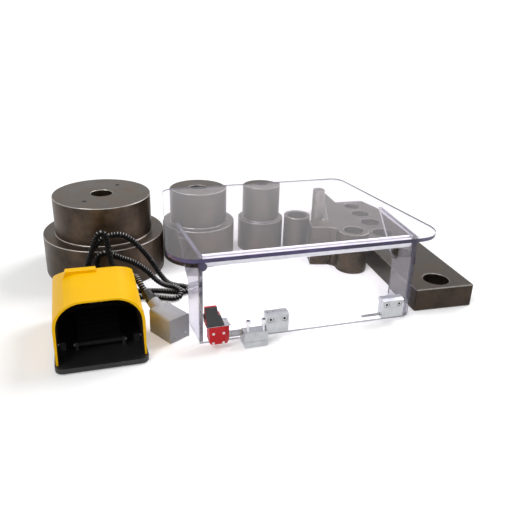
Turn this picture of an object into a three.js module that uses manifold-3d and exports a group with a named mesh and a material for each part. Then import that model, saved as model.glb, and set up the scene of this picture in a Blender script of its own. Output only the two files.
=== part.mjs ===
// Tooling, hinged guard and foot pedal of an electric rebar bender.
// The set is laid out in the guard's own directions: +X along its front pane, +Y away from the user,
// +Z up, in millimetres. Places are counted from the pane's left front corner on the floor, and the
// whole set is then moved so that its box stands centred on the origin.

import * as THREE from 'three';
import { mergeVertices } from 'three/addons/utils/BufferGeometryUtils.js';
import Module from 'manifold-3d';

// Clearances and counts that all pieces share
const seat = 0.3; // gap left where one piece rests against another
const running = 0.3; // radial gap of a pin or shaft that turns
const overrun = 3; // how far a cutting solid runs past the face it cuts
const turnedSides = 36; // sides of a large turned part
const boreSides = 24;
const smallSides = 12;
const edgeStepCount = 2; // straight steps in a small rounded edge
const cornerSteps = 4; // straight steps in a rounded corner
const hexSides = 6;
const hoseSides = 8;
const wireSides = 5;
const wireStepCount = 8; // steps in a turn of a wire
const quarterTurn = Math.PI / 2;

// Stepped bending mandrels, a tall sleeve and a plain pin
const rowGap = 4.5; // between the large and the medium mandrel
const wideRowGap = 19.7; // between the medium and the small mandrel
const sleeveGap = 3.7; // between the small mandrel and the sleeve
const large = {
  toGuardMiddle: 376.2, y: 418, lowerRadius: 141.5, upperRadius: 113.5, lowerHeight: 95, height: 186,
  boreRadius: 25, rimBevel: 3.5, boreBevel: 3, pegHoleRadius: 5.5, pegCircleRadius: 69,
  pegHoleDepth: 25, pegAngle: 53 * Math.PI / 180,
};
const medium = {
  y: 432, lowerRadius: 90.5, upperRadius: 71, lowerHeight: 91, height: 179,
  boreRadius: 25, rimBevel: 3, boreBevel: 2.5,
};
const small = {
  y: 440, lowerRadius: 59, upperRadius: 48, lowerHeight: 83, height: 173,
  boreRadius: 17, rimBevel: 2.5, boreBevel: 2,
};
const sleeve = { y: 407, radius: 34.3, boreRadius: 26.5, height: 92, rimBevel: 1.8 };
const pin = { toSleeve: 40.65, y: 368, radius: 15.5, height: 171, bevel: 3 };

// Bracket with a round boss, turned a little from the guard
const bracket = {
  toBar: 134.8, y: 298.6, turn: -13 * Math.PI / 180, length: 119, depth: 48, height: 98,
  bossX: 101, bossReach: 18, bossRadius: 38.5, boreRadius: 25, filletRadius: 14, cornerRadius: 3,
};

// Long flat bar with six holes, which lies beside the guard
const bar = {
  gapToGuard: 25, y: 14, turn: -2.4 * Math.PI / 180, width: 140, length: 572, thickness: 53,
  tongueWidth: 35, tongueLength: 84, cornerCut: 22, cornerCutLength: 71, shoulder: 44,
  shoulderStart: 372, shoulderEnd: 429, edgeBevel: 3.5, holeRadius: 29,
};
const barHolePlaceShares = [0.075, 0.346, 0.556, 0.698, 0.82, 0.932];
const barHoleSizeShares = [1, 1, 1, 0.93, 0.86, 0.8];

// Guard of clear sheet: a pane, two side panels and a tapered top plate
const sheet = 8; // thickness of the clear sheet
const plateClearance = 2; // from the top of the medium mandrel to the plate
const guard = {
  width: 458, height: medium.height + plateClearance, plateFront: -16, plateBack: 412,
  plateFrontHalf: 292, plateBackHalf: 233, frontCornerRadius: 56, backCornerRadius: 30,
  panelFoot: 88, panelUpright: 95, panelHead: 187, splay: 4 * Math.PI / 180, footCornerRadius: 9,
};
const tieRod = { radius: 10, cornerGap: 4, boreRadius: 4.3, boreLength: 28 };
bar.x = guard.width + bar.gapToGuard;
bracket.x = bar.x - bracket.toBar;
large.x = guard.width / 2 - large.toGuardMiddle;

// Hinge of the guard: two leaves on the pane and one leaf that belongs on the machine
const hinge = { y: -10.5, z: 21 }; // the axis, along X
const leaf = {
  width: 47, thickness: 20, below: 5.8, above: 37, bevel: 7, bevelDrop: 3, edgeRadius: 3,
  leftInset: 128.8, rightInset: 27.5, screwHalfSpacing: 14.2, screwAbove: 25, recessRadius: 6.2,
  recessDepth: 7,
};
const leafScrew = { headRadius: 5, headHeight: 6, shankRadius: 3, socketRadius: 2.6, socketDepth: 3 };
const leafNut = { acrossRadius: 5.8, thickness: 5, threadOut: 1.5 };
const shaft = { startX: 32, stepX: 79, endX: 168, headRadius: 6.5, radius: 4, stubRadius: 3 };
const barePin = { radius: 3, standOut: 42, reach: 40, bevel: 0.8 };
const floorLeaf = {
  top: 30, front: -35, rear: -3, gapToLeaf: 0.8, knuckleRadius: 8, bushWall: 1.5, frontBevel: 3,
};
const floorPlate = { thickness: 11, front: -38, bevel: 4 };
const standingScrew = {
  headRadius: 5, headHeight: 6, shankRadius: 3, standing: 19.5, depth: 14, halfSpacing: 15.7, y: -28,
};

// Safety switch, which swings with the guard round the hinge shaft
const switchHead = {
  x: 13, width: 40, front: -31, rear: -1, bottom: 12, top: 52.3, corner: 4, sideCorner: 9,
  wall: 2.8, camGap: 0.75,
};
const switchBody = {
  bottom: 53.6, top: 83, left: 8, footWidth: 34, neckWidth: 29, topWidth: 24, neckShare: 0.45,
  frontFoot: -30, frontTop: -9, rear: -1, wall: 2.5, coverThickness: 3,
};
const switchCam = { radius: 5, liftPerRadian: 1.5, width: 9 };
const camLiftTurn = 0.9; // radians over which the cam rises
const camSides = 36;
const switchStem = { radius: 2.5, length: 28.8, travel: 1.6 };
const contactBlock = { width: 16, depth: 10, height: 11, inset: 10 };
const plateTab = { width: 5, thickness: 1, drop: 5, out: 0.6, flare: 1, rim: 1.5 };
const entryPlug = { radius: 5, flangeRadius: 6.5, flange: 2, rise: 14, y: -9 };

// Foot pedal: base, hood, treadle and the switch below the treadle
const pedal = {
  centreX: -187, front: -28, halfWidth: 81, shoulderHeight: 84, height: 136, topFlatShare: 0.35,
  backTop: 106, back: 172, backShoulder: 92, backCornerRadius: 26, wall: 3.5, sill: 12,
};
const hoodRib = { left: -52, width: 56, depth: 16, height: 5, chamfer: 8, fromTop: 2, rootDrop: 13 };
const pedalBase = {
  halfWidth: 84, front: -42, back: 170, thickness: 10, footHeight: 2, cornerRadius: 15, backRadius: 26,
};
const foot = { radius: 9, inset: 24, recess: 1 };
const hoodScrew = { radius: 2.5, headRadius: 4.5, headHeight: 2, length: 9 };
const hoodBlock = { width: 12, depth: 18, height: 16, gap: 2.5 };
const hoodBlockPlaceShare = 0.3;
const treadle = {
  halfWidth: 40, hingeY: 22, hingeZ: 21, length: 104, thickness: 4, rest: 12 * Math.PI / 180,
  knuckleRadius: 5, lipHeight: 8, ribWidth: 3, ribRise: 1, ribCount: 6,
};
const treadlePin = { radius: 2.5, earThickness: 5, earHeight: 16, earDepth: 12, headRadius: 4.2 };
const plunger = { radius: 3, along: 60, length: 10, capRadius: 4.5, capHeight: 2 };
const pedalSwitch = { width: 34, depth: 24, height: 7 };
const spring = { radius: 7, wire: 1.6, along: 84, turnCount: 5 };
const latch = {
  halfWidth: 9, thickness: 3, y: 134, top: 66, bottom: 33, pinRadius: 2, knuckleRadius: 4.5,
};
const latchFrame = { thickness: 3, depth: 16, height: 72, footWidth: 8 };
const gland = {
  z: 38, hexRadius: 13, hexLength: 7, domeRadius: 10.5, domeLength: 17, threadRadius: 9,
  nutThickness: 4, offsetX: -3,
};

// Corrugated conduit from the pedal to the connector
const conduit = { radius: 6.5, rootRadius: 5.4, boreRadius: 4.2, ribCount: 150 };
const ribsPerBoreRingCount = 5;
const apartRadiiCount = 8; // stretches nearer than this along the conduit aren't compared

// Grey connector on the conduit's far end, turned from the guard
const connector = {
  x: -56, y: 13, turn: 28.7 * Math.PI / 180, width: 48, length: 66, height: 52, wall: 3, edge: 4,
  neckY: 50, neckZ: 34, tilt: 28 * Math.PI / 180, neckRadius: 13, neckLength: 40.7,
  hexRadius: 12.5, hexLength: 9, domeRadius: 10.5, domeLength: 16,
};
const insert = {
  fit: 0.3, depth: 16, setBack: 5, rearGap: 12, pinRadius: 1.25, pinLength: 8, columnCount: 3,
  rowCount: 4,
};
const lockPeg = { radius: 3, standOut: 3, rise: 11, inset: 12 };

// Bodies' colours and finishes
function finish(color, roughness, metalness, extra = {}) {
  return new THREE.MeshStandardMaterial({ color, roughness, metalness, ...extra });
}
const steel = finish(0x4d4744, 0.45, 0.85);
const machinedSteel = finish(0x6a6663, 0.4, 0.9);
const clearSheet = finish(0xd9dce4, 0.08, 0, { transparent: true, opacity: 0.3 });
const zincSteel = finish(0xb4b6b8, 0.35, 0.85);
const brightScrew = finish(0xc6c7c8, 0.25, 0.95);
const redPlastic = finish(0xc01014, 0.35, 0);
const darkPlastic = finish(0x3a3a3c, 0.5, 0);
const yellowMetal = finish(0xffc800, 0.35, 0.1);
const blackPlastic = finish(0x141414, 0.55, 0);
const blackRubber = finish(0x1b1b1b, 0.85, 0);
const greyHood = finish(0x9a9c9d, 0.45, 0.3);
const brass = finish(0xb9923c, 0.3, 0.95);
const whitePlastic = finish(0xdedede, 0.4, 0);

const assembly = new THREE.Group();
const cordPieces = new Set();
const wasm = await Module();
wasm.setup();

// Solids
// A closed geometry as a solid that can be joined and cut
function toSolid(geometry) {
  const bare = geometry.clone();
  bare.deleteAttribute('normal');
  bare.deleteAttribute('uv');
  const merged = mergeVertices(bare);
  return new wasm.Manifold(new wasm.Mesh({
    numProp: 3,
    vertProperties: new Float32Array(merged.attributes.position.array),
    triVerts: new Uint32Array(merged.index.array),
  }));
}

function toGeometry(solid) {
  const mesh = solid.getMesh();
  const geometry = new THREE.BufferGeometry();
  geometry.setAttribute('position', new THREE.BufferAttribute(mesh.vertProperties, mesh.numProp));
  geometry.setIndex(new THREE.BufferAttribute(mesh.triVerts, 1));
  return geometry;
}

function cut(geometry, ...tools) {
  return toGeometry(tools.reduce((solid, tool) => solid.subtract(toSolid(tool)), toSolid(geometry)));
}

function join(...geometries) {
  return toGeometry(geometries.map(toSolid).reduce((whole, solid) => whole.add(solid)));
}

function common(first, ...others) {
  return toGeometry(others.reduce((solid, other) => solid.intersect(toSolid(other)), toSolid(first)));
}

// A box between two values on each axis
function box(x0, x1, y0, y1, z0, z1) {
  const geometry = new THREE.BoxGeometry(x1 - x0, y1 - y0, z1 - z0);
  return geometry.translate((x0 + x1) / 2, (y0 + y1) / 2, (z0 + z1) / 2);
}

// Turns a solid made along +Z so that it runs along another axis, then moves it to its place
function aim(geometry, axis, x, y, z) {
  if (axis === 'x') geometry.rotateY(quarterTurn);
  if (axis === '-x') geometry.rotateY(-quarterTurn);
  if (axis === 'y') geometry.rotateX(-quarterTurn);
  if (axis === '-y') geometry.rotateX(quarterTurn);
  return geometry.translate(x, y, z);
}

// A round bar that starts at a place and runs along an axis
function rod(axis, x, y, z, length, radius, sides = smallSides) {
  const geometry = new THREE.CylinderGeometry(radius, radius, length, sides);
  geometry.rotateX(quarterTurn).translate(0, 0, length / 2);
  return aim(geometry, axis, x, y, z);
}

// A round bar on the hinge's axis
function hingeRod(x, length, radius, sides = boreSides) {
  return rod('x', x, hinge.y, hinge.z, length, radius, sides);
}

// A hole up along Z, run past both faces of a plate
function holeThrough(x, y, bottom, thickness, radius, sides = boreSides) {
  return rod('z', x, y, bottom - overrun, thickness + 2 * overrun, radius, sides);
}

// A solid turned about Z from a closed profile of [radius, height] points
function turned(x, y, profile, sides = turnedSides) {
  const points = [...profile, profile[0]].map(([radius, height]) => new THREE.Vector2(radius, height));
  const geometry = new THREE.LatheGeometry(points, sides);
  return geometry.rotateX(quarterTurn).translate(x, y, 0);
}

// A flat outline carried along an axis. The outline is in (y, z), (x, z) or (x, y).
function prism(axis, from, to, outline) {
  const shape = new THREE.Shape(outline.map(([u, v]) => new THREE.Vector2(u, v)));
  const geometry = new THREE.ExtrudeGeometry(shape, { depth: to - from, bevelEnabled: false });
  if (axis === 'x') geometry.rotateX(quarterTurn).rotateZ(quarterTurn).translate(from, 0, 0);
  if (axis === 'y') geometry.rotateX(quarterTurn).translate(0, to, 0);
  if (axis === 'z') geometry.translate(0, 0, from);
  return geometry;
}

// An outline whose corners [u, v, radius] are rounded with arcs
function rounded(corners, steps = cornerSteps) {
  const outline = [];
  corners.forEach(([u, v, radius], index) => {
    const here = new THREE.Vector2(u, v);
    if (!radius) {
      outline.push([u, v]);
      return;
    }
    const before = corners[(index + corners.length - 1) % corners.length];
    const after = corners[(index + 1) % corners.length];
    const back = new THREE.Vector2(before[0], before[1]).sub(here).normalize();
    const ahead = new THREE.Vector2(after[0], after[1]).sub(here).normalize();
    const half = Math.acos(THREE.MathUtils.clamp(back.dot(ahead), -1, 1)) / 2;
    const start = here.clone().addScaledVector(back, radius / Math.tan(half));
    const end = here.clone().addScaledVector(ahead, radius / Math.tan(half));
    const middle = back.clone().add(ahead).normalize().multiplyScalar(radius / Math.sin(half));
    const centre = here.clone().add(middle);
    const from = start.sub(centre).angle();
    let sweep = end.sub(centre).angle() - from;
    if (sweep > Math.PI) sweep -= 2 * Math.PI;
    if (sweep < -Math.PI) sweep += 2 * Math.PI;
    for (let step = 0; step <= steps; step += 1) {
      const angle = from + sweep * step / steps;
      outline.push([centre.x + radius * Math.cos(angle), centre.y + radius * Math.sin(angle)]);
    }
  });
  return outline;
}

// A screw with a round head and a hexagon socket, its head's underside at z = 0 and its shank below
function socketScrew(size, length) {
  const head = rod('z', 0, 0, 0, size.headHeight, size.headRadius);
  const shank = rod('z', 0, 0, -length, length + size.headHeight / 2, size.shankRadius);
  const floorZ = size.headHeight - size.socketDepth;
  const socket = rod('z', 0, 0, floorZ, size.socketDepth + overrun, size.socketRadius, hexSides);
  return cut(join(head, shank), socket);
}

function addPiece(name, geometry, material, parent = assembly) {
  const mesh = new THREE.Mesh(geometry, material);
  mesh.name = name;
  parent.add(mesh);
  return mesh;
}

// Copies of one fastener or foot, each with its number in its name
function addCopies(name, geometries, material) {
  geometries.forEach((geometry, index) => addPiece(`${name}_${index + 1}`, geometry, material));
}

// A piece that lies on the conduit, which the set's own box leaves out
function addCordPiece(name, geometry, material, parent = assembly) {
  cordPieces.add(addPiece(name, geometry, material, parent));
}

function turnedGroup(x, y, turn) {
  const group = new THREE.Group();
  group.position.set(x, y, 0);
  group.rotation.z = turn;
  assembly.add(group);
  return group;
}

// Place of a round piece beside another, a gap away from it
function besideX(neighbour, radius, y, gap) {
  const reach = neighbour.lowerRadius + radius + gap;
  return neighbour.x + Math.sqrt(reach ** 2 - (y - neighbour.y) ** 2);
}

// Bending tools
function steppedMandrel(size) {
  const top = size.height;
  return turned(size.x, size.y, [
    [size.boreRadius, 0],
    [size.lowerRadius - size.rimBevel, 0],
    [size.lowerRadius, size.rimBevel],
    [size.lowerRadius, size.lowerHeight - size.rimBevel],
    [size.lowerRadius - size.rimBevel, size.lowerHeight],
    [size.upperRadius, size.lowerHeight],
    [size.upperRadius, top - size.rimBevel],
    [size.upperRadius - size.rimBevel, top],
    [size.boreRadius + size.boreBevel, top],
    [size.boreRadius, top - size.boreBevel],
  ]);
}

function addMandrels() {
  const pegHoles = [0, Math.PI].map((half) => rod(
    'z',
    large.x + large.pegCircleRadius * Math.cos(large.pegAngle + half),
    large.y + large.pegCircleRadius * Math.sin(large.pegAngle + half),
    large.height - large.pegHoleDepth,
    large.pegHoleDepth + overrun,
    large.pegHoleRadius,
  ));
  addPiece('large_mandrel', cut(steppedMandrel(large), ...pegHoles), steel);
  medium.x = besideX(large, medium.lowerRadius, medium.y, rowGap);
  addPiece('medium_mandrel', steppedMandrel(medium), steel);
  small.x = besideX(medium, small.lowerRadius, small.y, wideRowGap);
  addPiece('small_mandrel', steppedMandrel(small), steel);
}

function addSleeve() {
  sleeve.x = besideX(small, sleeve.radius, sleeve.y, sleeveGap);
  const profile = [
    [sleeve.boreRadius, 0],
    [sleeve.radius, 0],
    [sleeve.radius, sleeve.height - sleeve.rimBevel],
    [sleeve.radius - sleeve.rimBevel, sleeve.height],
    [sleeve.boreRadius + sleeve.rimBevel, sleeve.height],
    [sleeve.boreRadius, sleeve.height - sleeve.rimBevel],
  ];
  addPiece('spacer_sleeve', turned(sleeve.x, sleeve.y, profile, boreSides), steel);
}

// The block with its boss, and the plain pin that stands behind it
function addBracketAndPin() {
  const group = turnedGroup(bracket.x, bracket.y, bracket.turn);
  const bossLeft = bracket.bossX - bracket.bossRadius;
  const webLeft = bossLeft - bracket.filletRadius;
  const block = prism('z', 0, bracket.height, rounded([
    [0, 0, bracket.cornerRadius],
    [bracket.length, 0, bracket.cornerRadius],
    [bracket.length, bracket.depth, bracket.cornerRadius],
    [0, bracket.depth, bracket.cornerRadius],
  ]));
  const bossY = -bracket.bossReach;
  const boss = rod('z', bracket.bossX, bossY, 0, bracket.height, bracket.bossRadius, turnedSides);
  const web = prism('z', 0, bracket.height, [
    [webLeft, 0],
    [bossLeft, bossY],
    [bracket.bossX, bossY],
    [bracket.bossX, bracket.filletRadius],
    [webLeft, bracket.filletRadius],
  ]);
  const round = rod('z', webLeft, bossY, 0, bracket.height, bracket.filletRadius, boreSides);
  const bore = holeThrough(bracket.bossX, bossY, 0, bracket.height, bracket.boreRadius);
  addPiece('boss_bracket', cut(join(block, boss, cut(web, round)), bore), steel, group);

  addPiece('plain_pin', turned(sleeve.x + pin.toSleeve, pin.y, [
    [0, 0],
    [pin.radius, 0],
    [pin.radius, pin.height - pin.bevel],
    [pin.radius - pin.bevel, pin.height],
    [0, pin.height],
  ], boreSides), machinedSteel);
}

function addBar() {
  const group = turnedGroup(bar.x, bar.y, bar.turn);
  const outline = [
    [0, 0],
    [bar.width, 0],
    [bar.width, bar.length - bar.cornerCutLength],
    [bar.width - bar.cornerCut, bar.length],
    [bar.tongueWidth, bar.length],
    [bar.tongueWidth, bar.length + bar.tongueLength],
    [0, bar.length + bar.tongueLength],
    [0, bar.length],
    [-bar.shoulder, bar.shoulderEnd],
    [-bar.shoulder, bar.shoulderStart],
    [0, bar.shoulderStart - bar.shoulder],
  ];
  const shape = new THREE.Shape(outline.map(([u, v]) => new THREE.Vector2(u, v)));
  const geometry = new THREE.ExtrudeGeometry(shape, {
    depth: bar.thickness - 2 * bar.edgeBevel,
    bevelSize: bar.edgeBevel,
    bevelThickness: bar.edgeBevel,
    bevelOffset: -bar.edgeBevel,
    bevelSegments: 1,
  });
  geometry.translate(0, 0, bar.edgeBevel);
  const holes = barHolePlaceShares.map((share, index) => {
    const radius = bar.holeRadius * barHoleSizeShares[index];
    return holeThrough(bar.width / 2, bar.length * share, 0, bar.thickness, radius);
  });
  addPiece('six_hole_bar', cut(geometry, ...holes), steel, group);
}

// Guard
function addGuardSheets() {
  const front = sheet + seat;
  const panelTop = guard.height - seat;
  const panelOutline = [
    [0, 0],
    [guard.panelFoot - front, 0],
    [guard.panelFoot - front, guard.panelUpright],
    [guard.panelHead - front, panelTop],
    [0, panelTop],
  ];
  const left = turnedGroup(0, front, guard.splay);
  addPiece('guard_left_panel', prism('x', 0, sheet, panelOutline), clearSheet, left);
  const right = turnedGroup(guard.width, front, -guard.splay);
  addPiece('guard_right_panel', prism('x', -sheet, 0, panelOutline), clearSheet, right);

  const screwHoles = leafScrewPlaces().map(([x, z]) => {
    const radius = leafScrew.shankRadius + seat;
    return rod('y', x, -overrun, z, sheet + 2 * overrun, radius);
  });
  const pane = prism('y', 0, sheet, rounded([
    [0, 0, 0],
    [guard.width, 0, guard.footCornerRadius],
    [guard.width, panelTop, 0],
    [0, panelTop, 0],
  ]));
  addPiece('guard_front_pane', cut(pane, ...screwHoles), clearSheet);

  const middle = guard.width / 2;
  addPiece('guard_top_plate', prism('z', guard.height, guard.height + sheet, rounded([
    [middle - guard.plateFrontHalf, guard.plateFront, guard.frontCornerRadius],
    [middle + guard.plateFrontHalf, guard.plateFront, guard.frontCornerRadius],
    [middle + guard.plateBackHalf, guard.plateBack, guard.backCornerRadius],
    [middle - guard.plateBackHalf, guard.plateBack, guard.backCornerRadius],
  ], 2 * cornerSteps)), clearSheet);
}

// A round rod in the corner under the plate, bored at each end
function addTieRod() {
  const { radius, cornerGap, boreRadius, boreLength } = tieRod;
  const y = sheet + seat + cornerGap + radius;
  const z = guard.height - seat - cornerGap - radius;
  const start = sheet + seat;
  const length = guard.width - 2 * start;
  const leftBore = rod('x', start - overrun, y, z, boreLength + overrun, boreRadius);
  const rightBore = rod('-x', start + length + overrun, y, z, boreLength + overrun, boreRadius);
  const bar = rod('x', start, y, z, length, radius, boreSides);
  addPiece('guard_tie_rod', cut(bar, leftBore, rightBore), whitePlastic);
}

function leftLeafStart() {
  return leaf.leftInset;
}

function rightLeafStart() {
  return guard.width - leaf.rightInset - leaf.width;
}

function leafCentres() {
  return [leftLeafStart(), rightLeafStart()].map((start) => start + leaf.width / 2);
}

function leafScrewPlaces() {
  const z = hinge.z + leaf.screwAbove;
  return leafCentres().flatMap((x) => [
    [x - leaf.screwHalfSpacing, z],
    [x + leaf.screwHalfSpacing, z],
  ]);
}

function paneLeaf(startX, boreRadius) {
  const back = -seat;
  const front = back - leaf.thickness;
  const bottom = hinge.z - leaf.below;
  const top = hinge.z + leaf.above;
  const body = prism('x', startX, startX + leaf.width, rounded([
    [front, bottom, leaf.edgeRadius],
    [back, bottom, 0],
    [back, top, 0],
    [front + leaf.bevel, top, 0],
    [front, top - leaf.bevelDrop, 0],
  ]));
  const bore = rod('x', startX - overrun, hinge.y, hinge.z, leaf.width + 2 * overrun, boreRadius);
  const x = startX + leaf.width / 2;
  const z = hinge.z + leaf.screwAbove;
  const recesses = [-1, 1].flatMap((side) => {
    const screwX = x + side * leaf.screwHalfSpacing;
    const recess = rod('y', screwX, front - overrun, z, leaf.recessDepth + overrun, leaf.recessRadius);
    const hole = rod('y', screwX, front, z, leaf.thickness + overrun, leafScrew.shankRadius + seat);
    return [recess, hole];
  });
  return cut(body, bore, ...recesses);
}

function addPaneLeaves() {
  addPiece('left_hinge_leaf', paneLeaf(leftLeafStart(), shaft.radius + running), zincSteel);
  addPiece('right_hinge_leaf', paneLeaf(rightLeafStart(), barePin.radius + seat), zincSteel);

  const underHead = -seat - leaf.thickness + leaf.recessDepth - seat;
  const nutFace = sheet + seat;
  const screwEnd = nutFace + leafNut.thickness + leafNut.threadOut;
  const screws = leafScrewPlaces().map(([x, z]) => (
    aim(socketScrew(leafScrew, screwEnd - underHead), '-y', x, underHead, z)));
  const nuts = leafScrewPlaces().map(([x, z]) => cut(
    rod('y', x, nutFace, z, leafNut.thickness, leafNut.acrossRadius, hexSides),
    rod('y', x, 0, z, screwEnd + overrun, leafScrew.shankRadius + seat),
  ));
  addCopies('leaf_screw', screws, brightScrew);
  addCopies('leaf_nut', nuts, brightScrew);
}

// The pin of the right leaf sticks out bare, because its other leaf stays on the machine
function addBarePin() {
  const { radius, bevel, standOut, reach } = barePin;
  const length = standOut + reach;
  const profile = [[0, 0], [radius - bevel, 0], [radius, bevel], [radius, length], [0, length]];
  const geometry = turned(0, 0, profile, smallSides);
  const start = rightLeafStart() - standOut;
  addPiece('right_hinge_pin', aim(geometry, 'x', start, hinge.y, hinge.z), brightScrew);
}

// The leaf on the floor, its backing plate, its bush and the two screws that stand in it
function addFloorLeaf() {
  const right = leftLeafStart() - floorLeaf.gapToLeaf;
  const left = right - leaf.width;
  const bottom = floorPlate.thickness + seat;
  const knuckle = rod('x', left, hinge.y, hinge.z, leaf.width, floorLeaf.knuckleRadius, boreSides);
  const body = prism('x', left, right, [
    [floorLeaf.front, bottom],
    [floorLeaf.rear, bottom],
    [hinge.y + floorLeaf.knuckleRadius, hinge.z],
    [hinge.y, hinge.z],
    [hinge.y, floorLeaf.top],
    [floorLeaf.front + floorLeaf.frontBevel, floorLeaf.top],
    [floorLeaf.front, floorLeaf.top - floorLeaf.frontBevel],
  ]);
  const bushRadius = shaft.radius + seat + floorLeaf.bushWall;
  const bore = rod('x', left - overrun, hinge.y, hinge.z, leaf.width + 2 * overrun, bushRadius + seat);
  const middle = (left + right) / 2;
  const screwPlaces = [middle - standingScrew.halfSpacing, middle + standingScrew.halfSpacing];
  const holeFloor = floorLeaf.top - standingScrew.depth - seat;
  const holes = screwPlaces.map((x) => (
    rod('z', x, standingScrew.y, holeFloor, floorLeaf.top, standingScrew.shankRadius + seat)));
  const base = cut(join(body, knuckle), bore, ...holes);
  addPiece('floor_hinge_leaf', base, zincSteel);

  addPiece('floor_leaf_plate', prism('x', left, right, [
    [floorPlate.front, 0],
    [floorLeaf.rear, 0],
    [floorLeaf.rear, floorPlate.thickness],
    [floorLeaf.front + seat, floorPlate.thickness],
    [floorPlate.front, floorPlate.thickness - floorPlate.bevel],
  ]), zincSteel);

  const bushBore = hingeRod(left - overrun, leaf.width + 2 * overrun, shaft.radius + seat);
  addPiece('hinge_bush', cut(hingeRod(left, leaf.width, bushRadius), bushBore), brass);

  const size = { ...leafScrew, ...standingScrew };
  const screws = screwPlaces.map((x) => {
    const screw = socketScrew(size, standingScrew.standing + standingScrew.depth);
    return screw.translate(x, standingScrew.y, floorLeaf.top + standingScrew.standing);
  });
  addCopies('floor_leaf_screw', screws, brightScrew);
}

// The shaft stands still in the floor leaf's bush and carries the switch's cam
function addHingeShaft() {
  const thick = hingeRod(shaft.startX, shaft.stepX - shaft.startX, shaft.headRadius);
  const thin = hingeRod(shaft.stepX - overrun, shaft.endX - shaft.stepX + overrun, shaft.radius);
  const camStart = switchHead.x + switchHead.width / 2 - switchCam.width / 2;
  const camSeat = camStart + switchCam.width + seat;
  const neckStart = shaft.startX - overrun;
  const neck = hingeRod(neckStart, camSeat - neckStart, shaft.headRadius + overrun, smallSides);
  const stub = hingeRod(camStart, camSeat - camStart + overrun, shaft.stubRadius, smallSides);
  addPiece('hinge_shaft', join(cut(join(thick, thin), neck), stub), machinedSteel);

  const outline = Array.from({ length: camSides }, (unused, step) => {
    const turn = 2 * Math.PI * (camSides - step) / camSides;
    const radius = camRadius(turn % (2 * Math.PI));
    return [hinge.y - radius * Math.sin(turn), hinge.z + radius * Math.cos(turn)];
  });
  const disc = prism('x', camStart, camStart + switchCam.width, outline);
  const holeLength = switchCam.width + 2 * overrun;
  const hole = rod('x', camStart - overrun, hinge.y, hinge.z, holeLength, shaft.stubRadius + seat);
  addPiece('switch_cam', cut(disc, hole), brass);
}

// Radius of the cam at the point that the stem comes over after a turn, in radians
function camRadius(turn) {
  const { radius, liftPerRadian } = switchCam;
  const fallShare = (2 * Math.PI - turn) / (2 * Math.PI - camLiftTurn);
  return radius + liftPerRadian * (turn < camLiftTurn ? turn : camLiftTurn * fallShare);
}

// Safety switch
function addSwitchHead() {
  const { x, width, front, rear, bottom, top, corner, sideCorner } = switchHead;
  const body = common(prism('x', x, x + width, rounded([
    [front, bottom, corner],
    [rear, bottom, corner],
    [rear, top, 0],
    [front, top, 0],
  ])), prism('y', front, rear, [
    [x, bottom + corner],
    [x + corner, bottom],
    [x + width - corner, bottom],
    [x + width, bottom + corner],
    [x + width, top],
    [x, top],
  ]), prism('z', bottom, top, [
    [x + corner, front],
    [x + width - sideCorner, front],
    [x + width, front + sideCorner],
    [x + width, rear],
    [x, rear],
    [x, front + corner],
  ]));
  const cavityRadius = camRadius(camLiftTurn) + switchHead.camGap;
  const cavity = hingeRod(x + switchHead.wall, width - 2 * switchHead.wall, cavityRadius);
  const shaftHole = hingeRod(x + width / 2, width, shaft.headRadius + running);
  const stemHole = rod('z', x + width / 2, hinge.y, hinge.z, top, switchStem.radius + running);
  addPiece('switch_head', cut(body, cavity, shaftHole, stemHole), redPlastic);
}

// The wedge-shaped housing, its sloping cover and what is inside
function switchOutline(inset) {
  const { left, footWidth, neckWidth, topWidth, bottom, top, neckShare } = switchBody;
  const neckZ = top - (top - bottom) * neckShare;
  return [
    [left + inset, bottom + inset],
    [left + footWidth - inset, bottom + inset],
    [left + neckWidth - inset, neckZ],
    [left + topWidth - inset, neckZ],
    [left + topWidth - inset, top - inset],
    [left + inset, top - inset],
  ];
}

function addSwitchBody() {
  const { bottom, top, frontFoot, frontTop, rear, wall, coverThickness, left, footWidth } = switchBody;
  const right = left + footWidth;
  const slope = (shift, lower, upper, back) => prism('x', left - overrun, right + overrun, [
    [frontFoot + shift, lower],
    [back, lower],
    [back, upper],
    [frontTop + shift, upper],
  ]);
  const face = prism('y', frontFoot - overrun, rear + overrun, switchOutline(0));
  const coverBack = coverThickness + seat;
  const shell = common(slope(coverBack, bottom, top, rear), face);
  const innerFace = prism('y', frontFoot - overrun, rear + overrun, switchOutline(wall));
  const mouth = common(slope(0, bottom, top, rear - wall), innerFace);
  const headMiddle = switchHead.x + switchHead.width / 2;
  const stemHole = holeThrough(headMiddle, hinge.y, bottom, wall, switchStem.radius + running, smallSides);
  const entryZ = bottom + entryPlug.rise - wall;
  const entryRadius = entryPlug.radius + seat;
  const entry = rod('-x', left + overrun, entryPlug.y, entryZ, wall + 2 * overrun, entryRadius);
  addPiece('switch_body', cut(shell, mouth, stemHole, entry), redPlastic);

  const slab = cut(slope(0, bottom, top, rear), slope(coverThickness, bottom, top, rear + overrun));
  const cover = common(slab, face);
  addPiece('switch_cover', cover, darkPlastic);
}

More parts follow.
